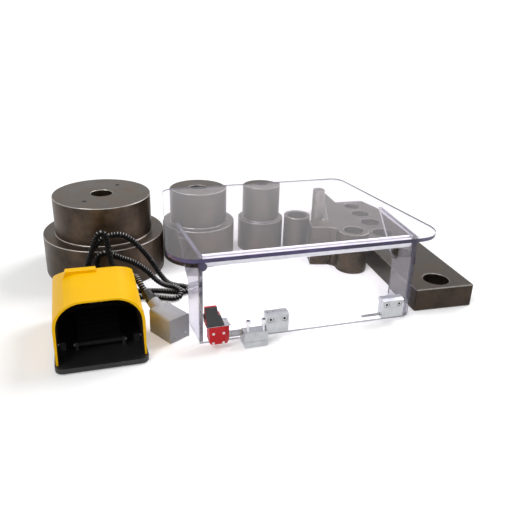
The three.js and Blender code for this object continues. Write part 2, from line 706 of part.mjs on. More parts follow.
function addSwitchDetails() {
  const { bottom, left, rear, frontFoot, wall } = switchBody;
  const middle = switchHead.x + switchHead.width / 2;
  const stemHoleRadius = switchStem.radius + running;
  const stemHole = holeThrough(middle, hinge.y, switchHead.top, wall, stemHoleRadius, smallSides);
  const { width: tabWidth, thickness, drop, out, flare, rim } = plateTab;
  const under = switchHead.top + seat;
  const upper = bottom - seat;
  const inside = switchHead.x + switchHead.width - overrun;
  const outside = switchHead.x + switchHead.width + out;
  const plate = box(left - rim, switchHead.x + switchHead.width, frontFoot - rim, rear, under, upper);
  const tab = prism('y', frontFoot - rim, frontFoot - rim + tabWidth, [
    [inside, under],
    [outside, under],
    [outside + flare, under - drop],
    [outside + flare + thickness, under - drop],
    [outside + thickness, upper],
    [inside, upper],
  ]);
  addPiece('switch_mount_plate', cut(join(plate, tab), stemHole), zincSteel);

  const camTop = hinge.z + switchCam.radius;
  const stem = rod('z', middle, hinge.y, camTop + seat, switchStem.length, switchStem.radius);
  addPiece('switch_stem', stem, whitePlastic);

  const blockBottom = camTop + seat + switchStem.length + switchStem.travel + seat;
  const back = rear - wall - seat;
  addPiece('contact_block', box(
    left + contactBlock.inset, left + contactBlock.inset + contactBlock.width,
    back - contactBlock.depth, back,
    blockBottom, blockBottom + contactBlock.height,
  ), whitePlastic);

  const plugZ = bottom + entryPlug.rise - wall;
  const { flange, flangeRadius } = entryPlug;
  addPiece('entry_plug', join(
    rod('x', left - flange - seat, entryPlug.y, plugZ, flange, flangeRadius),
    rod('x', left - flange, entryPlug.y, plugZ, flange + wall, entryPlug.radius),
  ), blackPlastic);
}

// Foot pedal
const floorTop = pedalBase.footHeight + pedalBase.thickness; // upper face of the base

function hoodArch(inset) {
  const { centreX, halfWidth, shoulderHeight, height, topFlatShare } = pedal;
  const half = halfWidth - inset;
  const top = height - inset;
  const flat = half * topFlatShare;
  const steps = 2 * cornerSteps;
  const rightSide = [[half, 0], [half - inset / 2, shoulderHeight]];
  for (let step = 1; step <= steps; step += 1) {
    const angle = quarterTurn * step / steps;
    const reach = half - inset / 2 - flat;
    const rise = top - shoulderHeight;
    rightSide.push([flat + reach * Math.cos(angle), shoulderHeight + rise * Math.sin(angle)]);
  }
  const leftSide = rightSide.map(([u, v]) => [-u, v]).reverse();
  return [...rightSide, ...leftSide].map(([u, v]) => [centreX + u, v]);
}

function hoodSide(inset) {
  const { back, backShoulder, backTop, height, front } = pedal;
  return rounded([
    [front - overrun, 0, 0],
    [back - inset, 0, 0],
    [back - inset, backShoulder, pedal.sill],
    [backTop - inset, height - inset, pedal.sill],
    [front - overrun, height - inset, 0],
  ]);
}

function hoodSolid(inset, from, sill) {
  const { centreX, halfWidth, height, back, backCornerRadius } = pedal;
  const left = centreX - halfWidth;
  const right = centreX + halfWidth;
  const side = prism('x', left - overrun, right + overrun, hoodSide(inset));
  const arch = prism('y', from, back, hoodArch(inset));
  const cornerStart = back - backCornerRadius;
  const plan = prism('z', sill, height + overrun, rounded([
    [left - overrun, from, 0],
    [right + overrun, from, 0],
    [right + overrun, cornerStart, 0],
    [right - inset, cornerStart, 0],
    [right - inset, back - inset, backCornerRadius - inset],
    [left + inset, back - inset, backCornerRadius - inset],
    [left + inset, cornerStart, 0],
    [left - overrun, cornerStart, 0],
  ]));
  return common(arch, side, plan);
}

// A low rib across the rear of the hood's top
function hoodRibSolid() {
  const { left, width, depth, height, chamfer, fromTop, rootDrop } = hoodRib;
  const start = pedal.centreX + left;
  const top = pedal.height + height;
  const root = pedal.height - rootDrop;
  return prism('y', pedal.backTop - depth - fromTop, pedal.backTop - fromTop, [
    [start - chamfer, root],
    [start + width + chamfer / 2, root],
    [start + width, top],
    [start, top],
  ]);
}

function addPedalHood() {
  const x = pedal.centreX + gland.offsetX;
  const entryStart = pedal.back - pedal.wall - overrun;
  const entryLength = pedal.wall + 2 * overrun;
  const entry = rod('y', x, entryStart, gland.z, entryLength, gland.threadRadius + seat);
  const outer = join(hoodSolid(0, pedal.front, pedal.sill + seat), hoodRibSolid());
  const shell = cut(outer, hoodSolid(pedal.wall, pedal.front - overrun, 0), entry);
  addPiece('pedal_hood', cut(shell, ...hoodScrewPlaces().map(([side, y]) => rod(
    side > 0 ? 'x' : '-x',
    pedal.centreX + side * (pedal.halfWidth - pedal.wall - overrun), y, hoodScrewZ(),
    pedal.wall + 2 * overrun, hoodScrew.radius + seat,
  ))), yellowMetal);
}

function hoodScrewZ() {
  return floorTop + hoodBlock.height / 2;
}

function hoodScrewPlaces() {
  const length = pedalBase.back - pedal.front;
  return [-1, 1].map((side) => [side, pedal.front + length * hoodBlockPlaceShare]);
}

function addPedalBase() {
  const { centreX } = pedal;
  const { halfWidth, front, back, footHeight, cornerRadius, backRadius } = pedalBase;
  const plate = prism('z', footHeight, floorTop, rounded([
    [centreX - halfWidth, front, cornerRadius],
    [centreX + halfWidth, front, cornerRadius],
    [centreX + halfWidth, back, backRadius],
    [centreX - halfWidth, back, backRadius],
  ]));
  const feet = [-1, 1].flatMap((side) => [front, back].map((end, index) => {
    const y = index === 0 ? end + foot.inset : end - foot.inset;
    return [centreX + side * (halfWidth - foot.inset), y];
  }));
  const recesses = feet.map(([x, y]) => rod('z', x, y, 0, footHeight + foot.recess, foot.radius + seat));
  const wallFace = pedal.halfWidth - pedal.wall - hoodBlock.gap;
  const blocks = hoodScrewPlaces().map(([side, y]) => box(
    centreX + side * (wallFace - hoodBlock.width / 2) - hoodBlock.width / 2,
    centreX + side * (wallFace - hoodBlock.width / 2) + hoodBlock.width / 2,
    y - hoodBlock.depth / 2, y + hoodBlock.depth / 2, floorTop - seat, floorTop + hoodBlock.height,
  ));
  const screwStart = pedal.halfWidth + hoodScrew.headHeight - hoodScrew.length - 2 * seat;
  const blockHoles = hoodScrewPlaces().map(([side, y]) => rod(
    side > 0 ? 'x' : '-x',
    centreX + side * (screwStart - seat), y, hoodScrewZ(), hoodScrew.length, hoodScrew.radius + seat,
  ));
  const earGap = treadle.halfWidth + seat + running;
  const ears = [-1, 1].map((side) => box(
    centreX + side * (earGap + treadlePin.earThickness / 2) - treadlePin.earThickness / 2,
    centreX + side * (earGap + treadlePin.earThickness / 2) + treadlePin.earThickness / 2,
    treadle.hingeY - treadlePin.earDepth / 2, treadle.hingeY + treadlePin.earDepth / 2,
    floorTop - seat, floorTop + treadlePin.earHeight,
  ));
  const earSpan = earGap + treadlePin.earThickness + overrun;
  const earBoreRadius = treadlePin.radius + seat;
  const earBore = rod('x', centreX - earSpan, treadle.hingeY, treadle.hingeZ, 2 * earSpan, earBoreRadius);
  const wellDepth = plunger.length + plunger.capHeight;
  const [plungerX, plungerY] = plungerPlace();
  const wellRadius = plunger.radius + running + seat;
  const well = rod('z', plungerX, plungerY, floorTop - wellDepth / 2, wellDepth, wellRadius);
  const base = cut(join(plate, ...blocks, ...ears), ...recesses, ...blockHoles, earBore, well);
  addPiece('pedal_base', base, blackPlastic);

  const pads = feet.map(([x, y]) => rod('z', x, y, 0, footHeight + foot.recess - seat, foot.radius));
  addCopies('pedal_foot', pads, blackRubber);

  const screws = hoodScrewPlaces().map(([side, y]) => {
    const axis = side > 0 ? 'x' : '-x';
    const shankLength = hoodScrew.length - hoodScrew.headHeight / 2;
    const shankStart = centreX + side * screwStart;
    const shank = rod(axis, shankStart, y, hoodScrewZ(), shankLength, hoodScrew.radius);
    const headStart = centreX + side * (pedal.halfWidth + seat);
    const head = rod(axis, headStart, y, hoodScrewZ(), hoodScrew.headHeight, hoodScrew.headRadius);
    return join(shank, head);
  });
  addCopies('hood_screw', screws, brightScrew);
}

function plungerPlace() {
  return [pedal.centreX, treadle.hingeY + plunger.along * Math.cos(treadle.rest)];
}

// Height of the treadle's underside at a distance from its hinge
function treadleUnderside(along) {
  return treadle.hingeZ + along * Math.sin(treadle.rest) - treadle.thickness / Math.cos(treadle.rest);
}

// The treadle is made flat about its hinge and turned up to its rest angle
function addTreadle() {
  const { halfWidth, length, thickness, knuckleRadius, lipHeight } = treadle;
  const { ribWidth, ribRise, ribCount } = treadle;
  const plate = box(-halfWidth, halfWidth, 0, length, -thickness, 0);
  const knuckle = rod('x', -halfWidth, 0, 0, 2 * halfWidth, knuckleRadius);
  const lip = box(-halfWidth, halfWidth, length - thickness, length, -thickness, lipHeight);
  const ribs = Array.from({ length: ribCount }, (unused, index) => {
    const y = length * (index + 1) / (ribCount + 1);
    return box(-halfWidth + ribWidth, halfWidth - ribWidth, y, y + ribWidth, -thickness / 2, ribRise);
  });
  const bore = rod('x', -halfWidth - overrun, 0, 0, 2 * (halfWidth + overrun), treadlePin.radius + running);
  const geometry = cut(join(plate, knuckle, lip, ...ribs), bore);
  geometry.rotateX(treadle.rest).translate(pedal.centreX, treadle.hingeY, treadle.hingeZ);
  addPiece('treadle', geometry, blackPlastic);

  const reach = halfWidth + running + treadlePin.earThickness + 2 * seat;
  const shank = rod('x', pedal.centreX - reach, treadle.hingeY, treadle.hingeZ, 2 * reach, treadlePin.radius);
  const heads = [-1, 1].map((side) => rod(
    side > 0 ? 'x' : '-x', pedal.centreX + side * (reach + seat / 2), treadle.hingeY, treadle.hingeZ,
    treadlePin.radius, treadlePin.headRadius,
  ));
  const links = [-1, 1].map((side) => rod(
    side > 0 ? 'x' : '-x', pedal.centreX + side * (reach - seat), treadle.hingeY, treadle.hingeZ,
    treadlePin.radius, treadlePin.radius,
  ));
  addPiece('treadle_pin', join(shank, ...links, ...heads), brightScrew);
}

function addPedalSwitch() {
  const [x, y] = plungerPlace();
  const { width, depth, height } = pedalSwitch;
  const bottom = floorTop + seat;
  const block = box(x - width / 2, x + width / 2, y - depth / 2, y + depth / 2, bottom, floorTop + height);
  const bore = rod('z', x, y, 0, floorTop + height + overrun, plunger.radius + running);
  addPiece('pedal_switch_block', cut(block, bore), darkPlastic);

  const capTop = treadleUnderside(plunger.along) - seat - plunger.capRadius * Math.sin(treadle.rest);
  const capBottom = capTop - plunger.capHeight;
  addPiece('pedal_plunger', join(
    rod('z', x, y, capBottom - plunger.length, plunger.length + plunger.capHeight / 2, plunger.radius),
    rod('z', x, y, capBottom, plunger.capHeight, plunger.capRadius),
  ), whitePlastic);
}

// A compression spring under the treadle, as one round wire with closed flat ends
function addTreadleSpring() {
  const y = treadle.hingeY + spring.along * Math.cos(treadle.rest);
  const low = floorTop + seat + spring.wire / 2;
  const tilt = (spring.radius + spring.wire) * Math.tan(treadle.rest);
  const high = treadleUnderside(spring.along) - seat - spring.wire / 2 - tilt;
  const count = spring.turnCount * wireStepCount;
  const points = Array.from({ length: count + 1 }, (unused, index) => {
    const angle = 2 * Math.PI * index / wireStepCount;
    const rise = low + (high - low) * index / count;
    return new THREE.Vector3(
      pedal.centreX + spring.radius * Math.cos(angle), y + spring.radius * Math.sin(angle), rise,
    );
  });
  const turnRise = (high - low) / spring.turnCount;
  console.log('Treadle spring, least gap between its turns:', (turnRise - spring.wire).toFixed(2));
  addPiece('treadle_spring', ringTube(points, points.map(() => spring.wire / 2), wireSides), brightScrew);
}

// The latch that a toe swings back hangs from a small frame behind the treadle
function addToeLatch() {
  const { halfWidth, thickness, y, top, bottom, pinRadius, knuckleRadius } = latch;
  const { centreX } = pedal;
  const axisY = y + thickness / 2;
  const plate = box(centreX - halfWidth, centreX + halfWidth, y, y + thickness, bottom, top);
  const knuckle = rod('x', centreX - halfWidth, axisY, top, 2 * halfWidth, knuckleRadius);
  const boreHalf = halfWidth + overrun;
  const bore = rod('x', centreX - boreHalf, axisY, top, 2 * boreHalf, pinRadius + running);
  addPiece('toe_latch', cut(join(plate, knuckle), bore), zincSteel);

  const inside = halfWidth + running + seat;
  const outside = inside + latchFrame.thickness;
  const front = axisY - latchFrame.depth / 2;
  const back = axisY + latchFrame.depth / 2;
  const foot = floorTop + seat;
  const sides = [-1, 1].map((side) => {
    const near = centreX + side * (side > 0 ? inside : outside);
    const cheek = box(near, near + latchFrame.thickness, front, back, foot, latchFrame.height);
    const flangeReach = side > 0 ? inside : latchFrame.thickness - outside - latchFrame.footWidth;
    const start = centreX + flangeReach;
    const end = start + latchFrame.footWidth;
    return join(cheek, box(start, end, front, back, foot, foot + latchFrame.thickness));
  });
  const left = centreX - outside;
  const right = centreX + outside;
  const bridgeBack = back + latchFrame.thickness;
  const bridge = box(left, right, back, bridgeBack, foot, bottom);
  const bridgeLink = box(left, right, back - seat, bridgeBack, foot, bottom - latchFrame.thickness);
  const pinBoreHalf = outside + overrun;
  const pinBore = rod('x', centreX - pinBoreHalf, axisY, top, 2 * pinBoreHalf, pinRadius + seat);
  addPiece('latch_frame', cut(join(...sides, bridge, bridgeLink), pinBore), zincSteel);
  addPiece('latch_pin', rod('x', centreX - outside, axisY, top, 2 * outside, pinRadius), brightScrew);
}

// The conduit's gland in the hood's rear wall and its nut inside
function addPedalGland() {
  const x = pedal.centreX + gland.offsetX;
  const outer = pedal.back + seat;
  const { nutThickness, domeLength, hexLength } = gland;
  const threadStart = pedal.back - pedal.wall - nutThickness - 2 * seat;
  const threadLength = nutThickness + pedal.wall + overrun;
  const thread = rod('y', x, threadStart, gland.z, threadLength, gland.threadRadius);
  const hex = rod('y', x, outer, gland.z, gland.hexLength, gland.hexRadius, hexSides);
  const domeStart = outer + hexLength / 2;
  const dome = rod('y', x, domeStart, gland.z, domeLength + hexLength / 2, gland.domeRadius);
  const mouthEnd = outer + hexLength + domeLength + overrun;
  const mouthStart = threadStart - overrun;
  const mouth = rod('y', x, mouthStart, gland.z, mouthEnd - mouthStart, conduit.boreRadius);
  addPiece('conduit_gland', cut(join(thread, hex, dome), mouth), blackPlastic);

  const nutEnd = pedal.back - pedal.wall - seat;
  const nut = rod('y', x, nutEnd - nutThickness, gland.z, nutThickness, gland.hexRadius, hexSides);
  const boreStart = nutEnd - nutThickness - overrun;
  const boreLength = nutThickness + 2 * overrun;
  const nutBore = rod('y', x, boreStart, gland.z, boreLength, gland.threadRadius + seat);
  addPiece('gland_nut', cut(nut, nutBore), blackPlastic);
}

// Conduit
// Rings of one tube along a path: the same number of points on each, closed at both ends by the walls
function ringFrames(points) {
  const frames = [];
  let normal = null;
  points.forEach((point, index) => {
    const before = points[Math.max(index - 1, 0)];
    const after = points[Math.min(index + 1, points.length - 1)];
    const tangent = after.clone().sub(before).normalize();
    if (!normal) {
      const steep = Math.abs(tangent.z) > Math.SQRT1_2;
      const side = steep ? new THREE.Vector3(1, 0, 0) : new THREE.Vector3(0, 0, 1);
      normal = side.clone().cross(tangent).normalize();
    }
    normal = normal.clone().addScaledVector(tangent, -normal.dot(tangent)).normalize();
    frames.push({ point, normal, side: tangent.clone().cross(normal) });
  });
  return frames;
}

function pushRing(positions, frame, radius, sides) {
  for (let side = 0; side < sides; side += 1) {
    const angle = 2 * Math.PI * side / sides;
    const spot = frame.point.clone()
      .addScaledVector(frame.normal, radius * Math.cos(angle))
      .addScaledVector(frame.side, radius * Math.sin(angle));
    positions.push(spot.x, spot.y, spot.z);
  }
}

function pushBand(indices, first, second, sides) {
  for (let side = 0; side < sides; side += 1) {
    const next = (side + 1) % sides;
    indices.push(first + side, first + next, second + next);
    indices.push(first + side, second + next, second + side);
  }
}

function indexed(positions, indices) {
  const geometry = new THREE.BufferGeometry();
  geometry.setAttribute('position', new THREE.Float32BufferAttribute(positions, 3));
  geometry.setIndex(indices);
  return geometry;
}

// A solid tube whose radius is given at each point of its path
function ringTube(points, radii, sides) {
  const positions = [];
  const indices = [];
  ringFrames(points).forEach((frame, index) => pushRing(positions, frame, radii[index], sides));
  for (let ring = 1; ring < points.length; ring += 1) {
    pushBand(indices, (ring - 1) * sides, ring * sides, sides);
  }
  const last = (points.length - 1) * sides;
  for (let side = 1; side < sides - 1; side += 1) {
    indices.push(0, side + 1, side);
    indices.push(last, last + side, last + side + 1);
  }
  return indexed(positions, indices);
}

// A hollow hose: the outer wall has two rings a rib, and the bore has a ring every few ribs
function ribbedHose(curve, size) {
  const { ribCount, radius, rootRadius, boreRadius } = size;
  const sides = hoseSides;
  const ringCount = 2 * ribCount + 1;
  const points = curve.getSpacedPoints(ringCount - 1);
  const frames = ringFrames(points);
  const positions = [];
  const indices = [];
  frames.forEach((frame, index) => pushRing(positions, frame, index % 2 ? radius : rootRadius, sides));
  for (let ring = 1; ring < ringCount; ring += 1) {
    pushBand(indices, (ring - 1) * sides, ring * sides, sides);
  }
  const boreRings = [];
  for (let ring = 0; ring < ringCount - 1; ring += 2 * ribsPerBoreRingCount) boreRings.push(ring);
  boreRings.push(ringCount - 1);
  const boreStart = ringCount * sides;
  boreRings.forEach((ring) => pushRing(positions, frames[ring], boreRadius, sides));
  for (let ring = 1; ring < boreRings.length; ring += 1) {
    pushBand(indices, boreStart + ring * sides, boreStart + (ring - 1) * sides, sides);
  }
  pushBand(indices, boreStart, 0, sides);
  pushBand(indices, (ringCount - 1) * sides, boreStart + (boreRings.length - 1) * sides, sides);
  return { geometry: indexed(positions, indices), points };
}

// Least gap between stretches of a tube that lie far apart along it
function leastGap(points, radius) {
  const step = points[0].distanceTo(points[1]);
  const apart = Math.ceil(apartRadiiCount * radius / step);
  let least = Infinity;
  for (let first = 0; first < points.length; first += 1) {
    for (let second = first + apart; second < points.length; second += 1) {
      least = Math.min(least, points[first].distanceTo(points[second]));
    }
  }
  return least - 2 * radius;
}

function addConduit() {
  const exitX = pedal.centreX + gland.offsetX;
  const exitY = pedal.back + seat + gland.hexLength + gland.domeLength + seat;
  const end = connectorLength() + seat;
  const route = [
    [exitX, exitY, gland.z],
    [exitX, exitY + conduit.radius, gland.z],
    [exitX, exitY + 2 * conduit.radius, gland.z],
    [-192, 228, 43],
    [-194.5, 245, 56],
    [-193, 257, 75],
    [-187, 263, 95],
    [-175, 266, 115],
    [-158, 267, 130],
    [-138, 267, 136],
    [-119, 267, 135],
    [-101, 266, 125],
    [-83, 266, 106],
    [-65, 266, 82],
    [-49, 264, 56],
    [-36, 259, 32],
    [-21, 254, 14],
    [-4, 249, 7.6],
    [12, 241, 7],
    [22, 228, 7],
    [18, 215.5, 7],
    [4, 211.5, 7],
    [-14, 217, 7],
    [-33, 225, 7],
    [-54, 233, 7],
    [-77, 238, 7],
    [-101, 239, 7.5],
    [-124, 234, 9.5],
    [-143, 229, 16],
    [-156, 231, 30],
    [-163, 237, 48],
    [-170, 241, 66],
    [-175, 243, 83],
    [-172, 243, 97],
    [-161, 243, 104.5],
    [-148, 243, 103],
    [-135, 243, 96.5],
    [-121, 243, 89],
    [-102, 243, 80],
    [-84, 243, 67],
    [-67, 243, 51],
    [-52, 240, 33.5],
    [-39, 233, 24],
    [-25, 222, 21.5],
    [-10, 211, 21],
    [-1.5, 200, 17],
    [-5, 189, 10],
    [-19, 186, 7],
    [-38, 193, 7],
    [-60, 203, 7],
    [-85, 209, 7],
    [-111, 210, 7],
    [-137, 207, 7],
    [-162, 205, 7],
    [-184, 207, 10],
    [-201, 211, 20],
    [-210, 215, 37],
    [-210.5, 219, 56],
    [-204.5, 222, 75],
    [-196, 224, 91],
    [-187, 225, 114],
    [-180, 225, 135],
    [-173.5, 225, 150],
    [-168, 225, 157.5],
    [-160.5, 225, 159.5],
    [-154.5, 225, 153.5],
    [-152, 225, 141],
    [-150, 225, 124],
    [-147, 225, 98],
    [-142.5, 223, 77],
    [-137, 217, 64],
    [-128, 206, 59.5],
    [-117.5, 191, 65],
    [-108, 174, 76],
    [-101, 158, 81],
    [-97, 143, 77.5],
    neckPoint(end + 2 * conduit.radius),
    neckPoint(end + conduit.radius),
    neckPoint(end),
  ].map(([x, y, z]) => new THREE.Vector3(x, y, z));
  const curve = new THREE.CatmullRomCurve3(route, false, 'centripetal');
  const { geometry, points } = ribbedHose(curve, conduit);
  console.log('Conduit length:', curve.getLength().toFixed(0));
  console.log('Conduit, least gap to itself:', leastGap(points, conduit.radius).toFixed(2));
  addCordPiece('conduit', geometry, blackPlastic);
}

// Connector
// A place on the axis of the connector's neck, which rises to the rear
function neckPoint(along) {
  const { x, y, turn, width, neckY, neckZ, tilt } = connector;
  const u = width / 2;
  const v = neckY + along * Math.cos(tilt);
  return [
    x + u * Math.cos(turn) - v * Math.sin(turn),
    y + u * Math.sin(turn) + v * Math.cos(turn),
    neckZ + along * Math.sin(tilt),
  ];
}

// From the start of the neck to the end of its gland
function connectorLength() {
  const { neckLength, hexLength, domeLength } = connector;
  return neckLength + seat + hexLength + domeLength;
}

function neckRod(start, length, radius, sides = smallSides) {
  const { width, neckY, neckZ, tilt } = connector;
  return rod('y', 0, start, 0, length, radius, sides).rotateX(tilt).translate(width / 2, neckY, neckZ);
}

// The connector's box, with its two upper edges rounded
function connectorBox() {
  const { width, length, height, edge } = connector;
  return prism('y', 0, length, rounded([
    [0, 0, 0],
    [width, 0, 0],
    [width, height, edge],
    [0, height, edge],
  ], edgeStepCount));
}

function addConnector() {
  const group = turnedGroup(connector.x, connector.y, connector.turn);
  const { width, height, length, wall, neckRadius, neckLength, hexRadius, hexLength } = connector;
  const { domeRadius, domeLength } = connector;
  const neck = neckRod(0, neckLength, neckRadius, boreSides);
  const chamber = box(wall, width - wall, wall, length - wall, -overrun, height - wall);
  const duct = neckRod(0, neckLength + overrun, conduit.boreRadius);
  const pegs = [lockPeg.inset, width - lockPeg.inset].map((x) => (
    rod('-y', x, wall / 2, lockPeg.rise, lockPeg.standOut + wall / 2, lockPeg.radius)));
  const hood = cut(join(connectorBox(), neck, ...pegs), chamber, duct);
  addCordPiece('connector_hood', hood, greyHood, group);

  const glandStart = neckLength + seat;
  const hex = neckRod(glandStart, hexLength, hexRadius, hexSides);
  const dome = neckRod(glandStart + hexLength - overrun, domeLength + overrun, domeRadius, boreSides);
  const mouthLength = hexLength + domeLength + 2 * overrun;
  const mouth = neckRod(glandStart - overrun, mouthLength, conduit.boreRadius);
  addCordPiece('connector_gland', cut(join(hex, dome), mouth), blackPlastic, group);

  const side = wall + insert.fit;
  const rear = length - side - insert.rearGap;
  const { setBack, depth, pinLength, pinRadius, columnCount, rowCount } = insert;
  const places = [];
  for (let row = 1; row <= rowCount; row += 1) {
    for (let column = 1; column <= columnCount; column += 1) {
      const x = side + (width - 2 * side) * column / (columnCount + 1);
      places.push([x, side + (rear - side) * row / (rowCount + 1)]);
    }
  }
  const pins = places.map(([x, y]) => (
    rod('z', x, y, setBack - pinLength / 2, pinLength, pinRadius, hexSides)));
  const block = box(side, width - side, side, rear, setBack, setBack + depth);
  addCordPiece('connector_insert', join(block, ...pins), darkPlastic, group);
}

addMandrels();
addSleeve();
addBracketAndPin();
addBar();
addGuardSheets();
addTieRod();
addPaneLeaves();
addBarePin();
addFloorLeaf();
addHingeShaft();
addSwitchHead();
addSwitchBody();
addSwitchDetails();
addPedalHood();
addPedalBase();
addTreadle();
addPedalSwitch();
addTreadleSpring();
addToeLatch();
addPedalGland();
addConduit();
addConnector();

// Centres the set's box, without the conduit and what is on it, over the origin
const bounds = new THREE.Box3();
assembly.updateMatrixWorld(true);
assembly.traverse((piece) => {
  if (piece.isMesh && !cordPieces.has(piece)) bounds.expandByObject(piece, true);
});
const middle = bounds.getCenter(new THREE.Vector3());
assembly.position.set(-middle.x, -middle.y, -bounds.min.z);
console.log('Origin in the layout:', middle.x.toFixed(3), middle.y.toFixed(3), bounds.min.z.toFixed(3));

export default assembly;
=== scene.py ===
import math

import bmesh
import bpy
import numpy as np
from bpy.props import FloatProperty, FloatVectorProperty, IntProperty, PointerProperty
from mathutils import Matrix, Vector


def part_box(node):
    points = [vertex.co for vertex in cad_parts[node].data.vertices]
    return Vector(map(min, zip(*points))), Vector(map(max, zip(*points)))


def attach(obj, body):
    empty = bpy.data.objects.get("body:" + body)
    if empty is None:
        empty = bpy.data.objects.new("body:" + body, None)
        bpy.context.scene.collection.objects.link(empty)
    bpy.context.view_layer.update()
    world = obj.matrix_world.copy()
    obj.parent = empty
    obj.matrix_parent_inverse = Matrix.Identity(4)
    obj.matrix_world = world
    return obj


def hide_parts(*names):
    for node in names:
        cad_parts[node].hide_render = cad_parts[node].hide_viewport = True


bl_info = {
    "name": "Rebar bender tooling set",
    "version": (1, 0, 0),
    "blender": (4, 5, 0),
    "location": "View3D > Sidebar > Bender set",
    "description": "Builds the looks of a bender's mandrels, guard and foot pedal around their packed solids",
    "category": "Add Mesh",
}

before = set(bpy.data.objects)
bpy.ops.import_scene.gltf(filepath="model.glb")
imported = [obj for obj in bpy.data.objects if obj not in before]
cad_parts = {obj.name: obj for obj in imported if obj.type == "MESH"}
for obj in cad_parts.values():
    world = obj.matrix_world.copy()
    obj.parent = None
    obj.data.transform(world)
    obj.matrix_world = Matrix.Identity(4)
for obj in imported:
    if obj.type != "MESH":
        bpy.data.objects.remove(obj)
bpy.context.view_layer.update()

MM = 0.001
# The middle of the set's box in the layout, whose own zero is the guard's left front corner
LAYOUT_X, LAYOUT_Y = 177.578, 313.712


def place(x, y, z):
    """A point of the layout, in millimetres, as a point of the frame, in metres."""
    return Vector(((x - LAYOUT_X) * MM, (y - LAYOUT_Y) * MM, z * MM))


def place_all(points):
    """An array of layout points in millimetres as frame points in metres."""
    return (np.asarray(points, float) - np.array([LAYOUT_X, LAYOUT_Y, 0.0])) * MM


# Settings

COLOUR = {"subtype": "COLOR", "size": 4, "min": 0, "max": 1}


class SteelSettings(bpy.types.PropertyGroup):
    """Sizes and colours of the bending tools."""

    colour: FloatVectorProperty(
        name="Steel", description="Dark machined steel", default=(0.036, 0.029, 0.025, 1), **COLOUR)
    stain: FloatVectorProperty(
        name="Stain", description="Brown patches of oil and scale", default=(0.125, 0.085, 0.055, 1), **COLOUR)
    # Pale colour of the painted highlight on the tools' bevels
    rim_highlight: FloatVectorProperty(
        name="Rim highlight", description="Painted highlight on the bevels", default=(0.62, 0.59, 0.56, 1), **COLOUR)
    bevel: FloatProperty(
        name="Rim bevel", description="Bevel on the rims of the round tools", unit="LENGTH", default=0.0019,
        min=0.0005, max=0.005)
    plate_bevel: FloatProperty(
        name="Plate bevel", description="Bevel on the flat tools' edges", unit="LENGTH", default=0.0024,
        min=0.0005, max=0.0034)
    sides: IntProperty(
        name="Sides", description="Steps round a turned tool", default=144, min=48, max=256)


class GuardSettings(bpy.types.PropertyGroup):
    """Colours of the clear guard and its metal parts."""

    sheet: FloatVectorProperty(
        name="Sheet", description="Clear sheet", default=(0.98, 0.975, 0.99, 1), **COLOUR)
    cover: FloatVectorProperty(
        name="Top plate", description="Top plate, looked through at a slant",
        default=(0.955, 0.92, 0.985, 1), **COLOUR)
    panel: FloatVectorProperty(
        name="Side panel", description="Side panels, which show more of the tint",
        default=(0.68, 0.66, 0.74, 1), **COLOUR)
    edge: FloatVectorProperty(
        name="Edge", description="Cut edges of the sheet", default=(0.055, 0.045, 0.11, 1), **COLOUR)
    pale_edge: FloatVectorProperty(
        name="Pale edge", description="Cut edges of upright sheets", default=(0.11, 0.10, 0.15, 1), **COLOUR)
    zinc: FloatVectorProperty(
        name="Zinc", description="Plated hinge parts", default=(0.50, 0.51, 0.53, 1), **COLOUR)
    red: FloatVectorProperty(
        name="Switch", description="Moulded switch housing", default=(0.56, 0.0, 0.006, 1), **COLOUR)


class PedalSettings(bpy.types.PropertyGroup):
    """Colours of the pedal and the connector, and the rounding of the hood's edges."""

    hood: FloatVectorProperty(
        name="Hood", description="Painted hood", default=(1.0, 0.54, 0.0, 1), **COLOUR)
    # Painted shade on the inside of the hood, whose real paint is the same yellow
    inner_shade: FloatVectorProperty(
        name="Inner shade", description="Inside of the hood", default=(0.020, 0.010, 0.006, 1), **COLOUR)
    moulding: FloatVectorProperty(
        name="Moulding", description="Black moulded base and treadle",
        default=(0.011, 0.011, 0.012, 1), **COLOUR)
    connector: FloatVectorProperty(
        name="Connector", description="Grey coat of the connector", default=(0.33, 0.335, 0.345, 1), **COLOUR)
    edge: FloatProperty(
        name="Hood edge", description="Rounding of the hood's edges", unit="LENGTH", default=0.0010,
        min=0.0002, max=0.0016)


class ConduitSettings(bpy.types.PropertyGroup):
    """Sizes of the corrugated conduit."""

    radius: FloatProperty(
        name="Radius", description="Over the ribs", unit="LENGTH", default=0.0065, min=0.004, max=0.01)
    pitch: FloatProperty(
        name="Rib pitch", description="From one rib to the next", unit="LENGTH", default=0.0058,
        min=0.002, max=0.01)
    depth: FloatProperty(
        name="Rib depth", description="From a rib's top to its root", unit="LENGTH", default=0.0016,
        min=0.0002, max=0.002)


class StageSettings(bpy.types.PropertyGroup):
    """Floor, lamps and surrounding."""

    floor: FloatVectorProperty(
        name="Floor", description="Plain pale floor", default=(0.80, 0.80, 0.80, 1), **COLOUR)
    lamp: FloatProperty(name="Lamps", description="Strength of the lamps", default=1.0, min=0.1, max=4)
    ambient: FloatProperty(
        name="Surrounding", description="Strength of the surrounding as it lights the pieces", default=0.36,
        min=0, max=2)


# Shapes

ALONG = 0.9  # least cosine between a direction and the axis that it is said to follow
SUPPORT = 1.15  # bevels from a corner to the point that keeps the shading beside its round flat
SAME_POINT = 1e-6  # metres between points that are joined
ONE_FACE = 0.6  # degrees between triangles that are joined to one flat face
PLATE_SHARP = 8  # degrees, little enough that a round's shading doesn't spread over a plate
HOLE_SIDES = 72
ROUTE_STEPS = 40  # fine steps between two points of a route


def add_object(name, data):
    """An object at the origin, put into the scene."""
    piece = bpy.data.objects.new(name, data)
    bpy.context.scene.collection.objects.link(piece)
    return piece


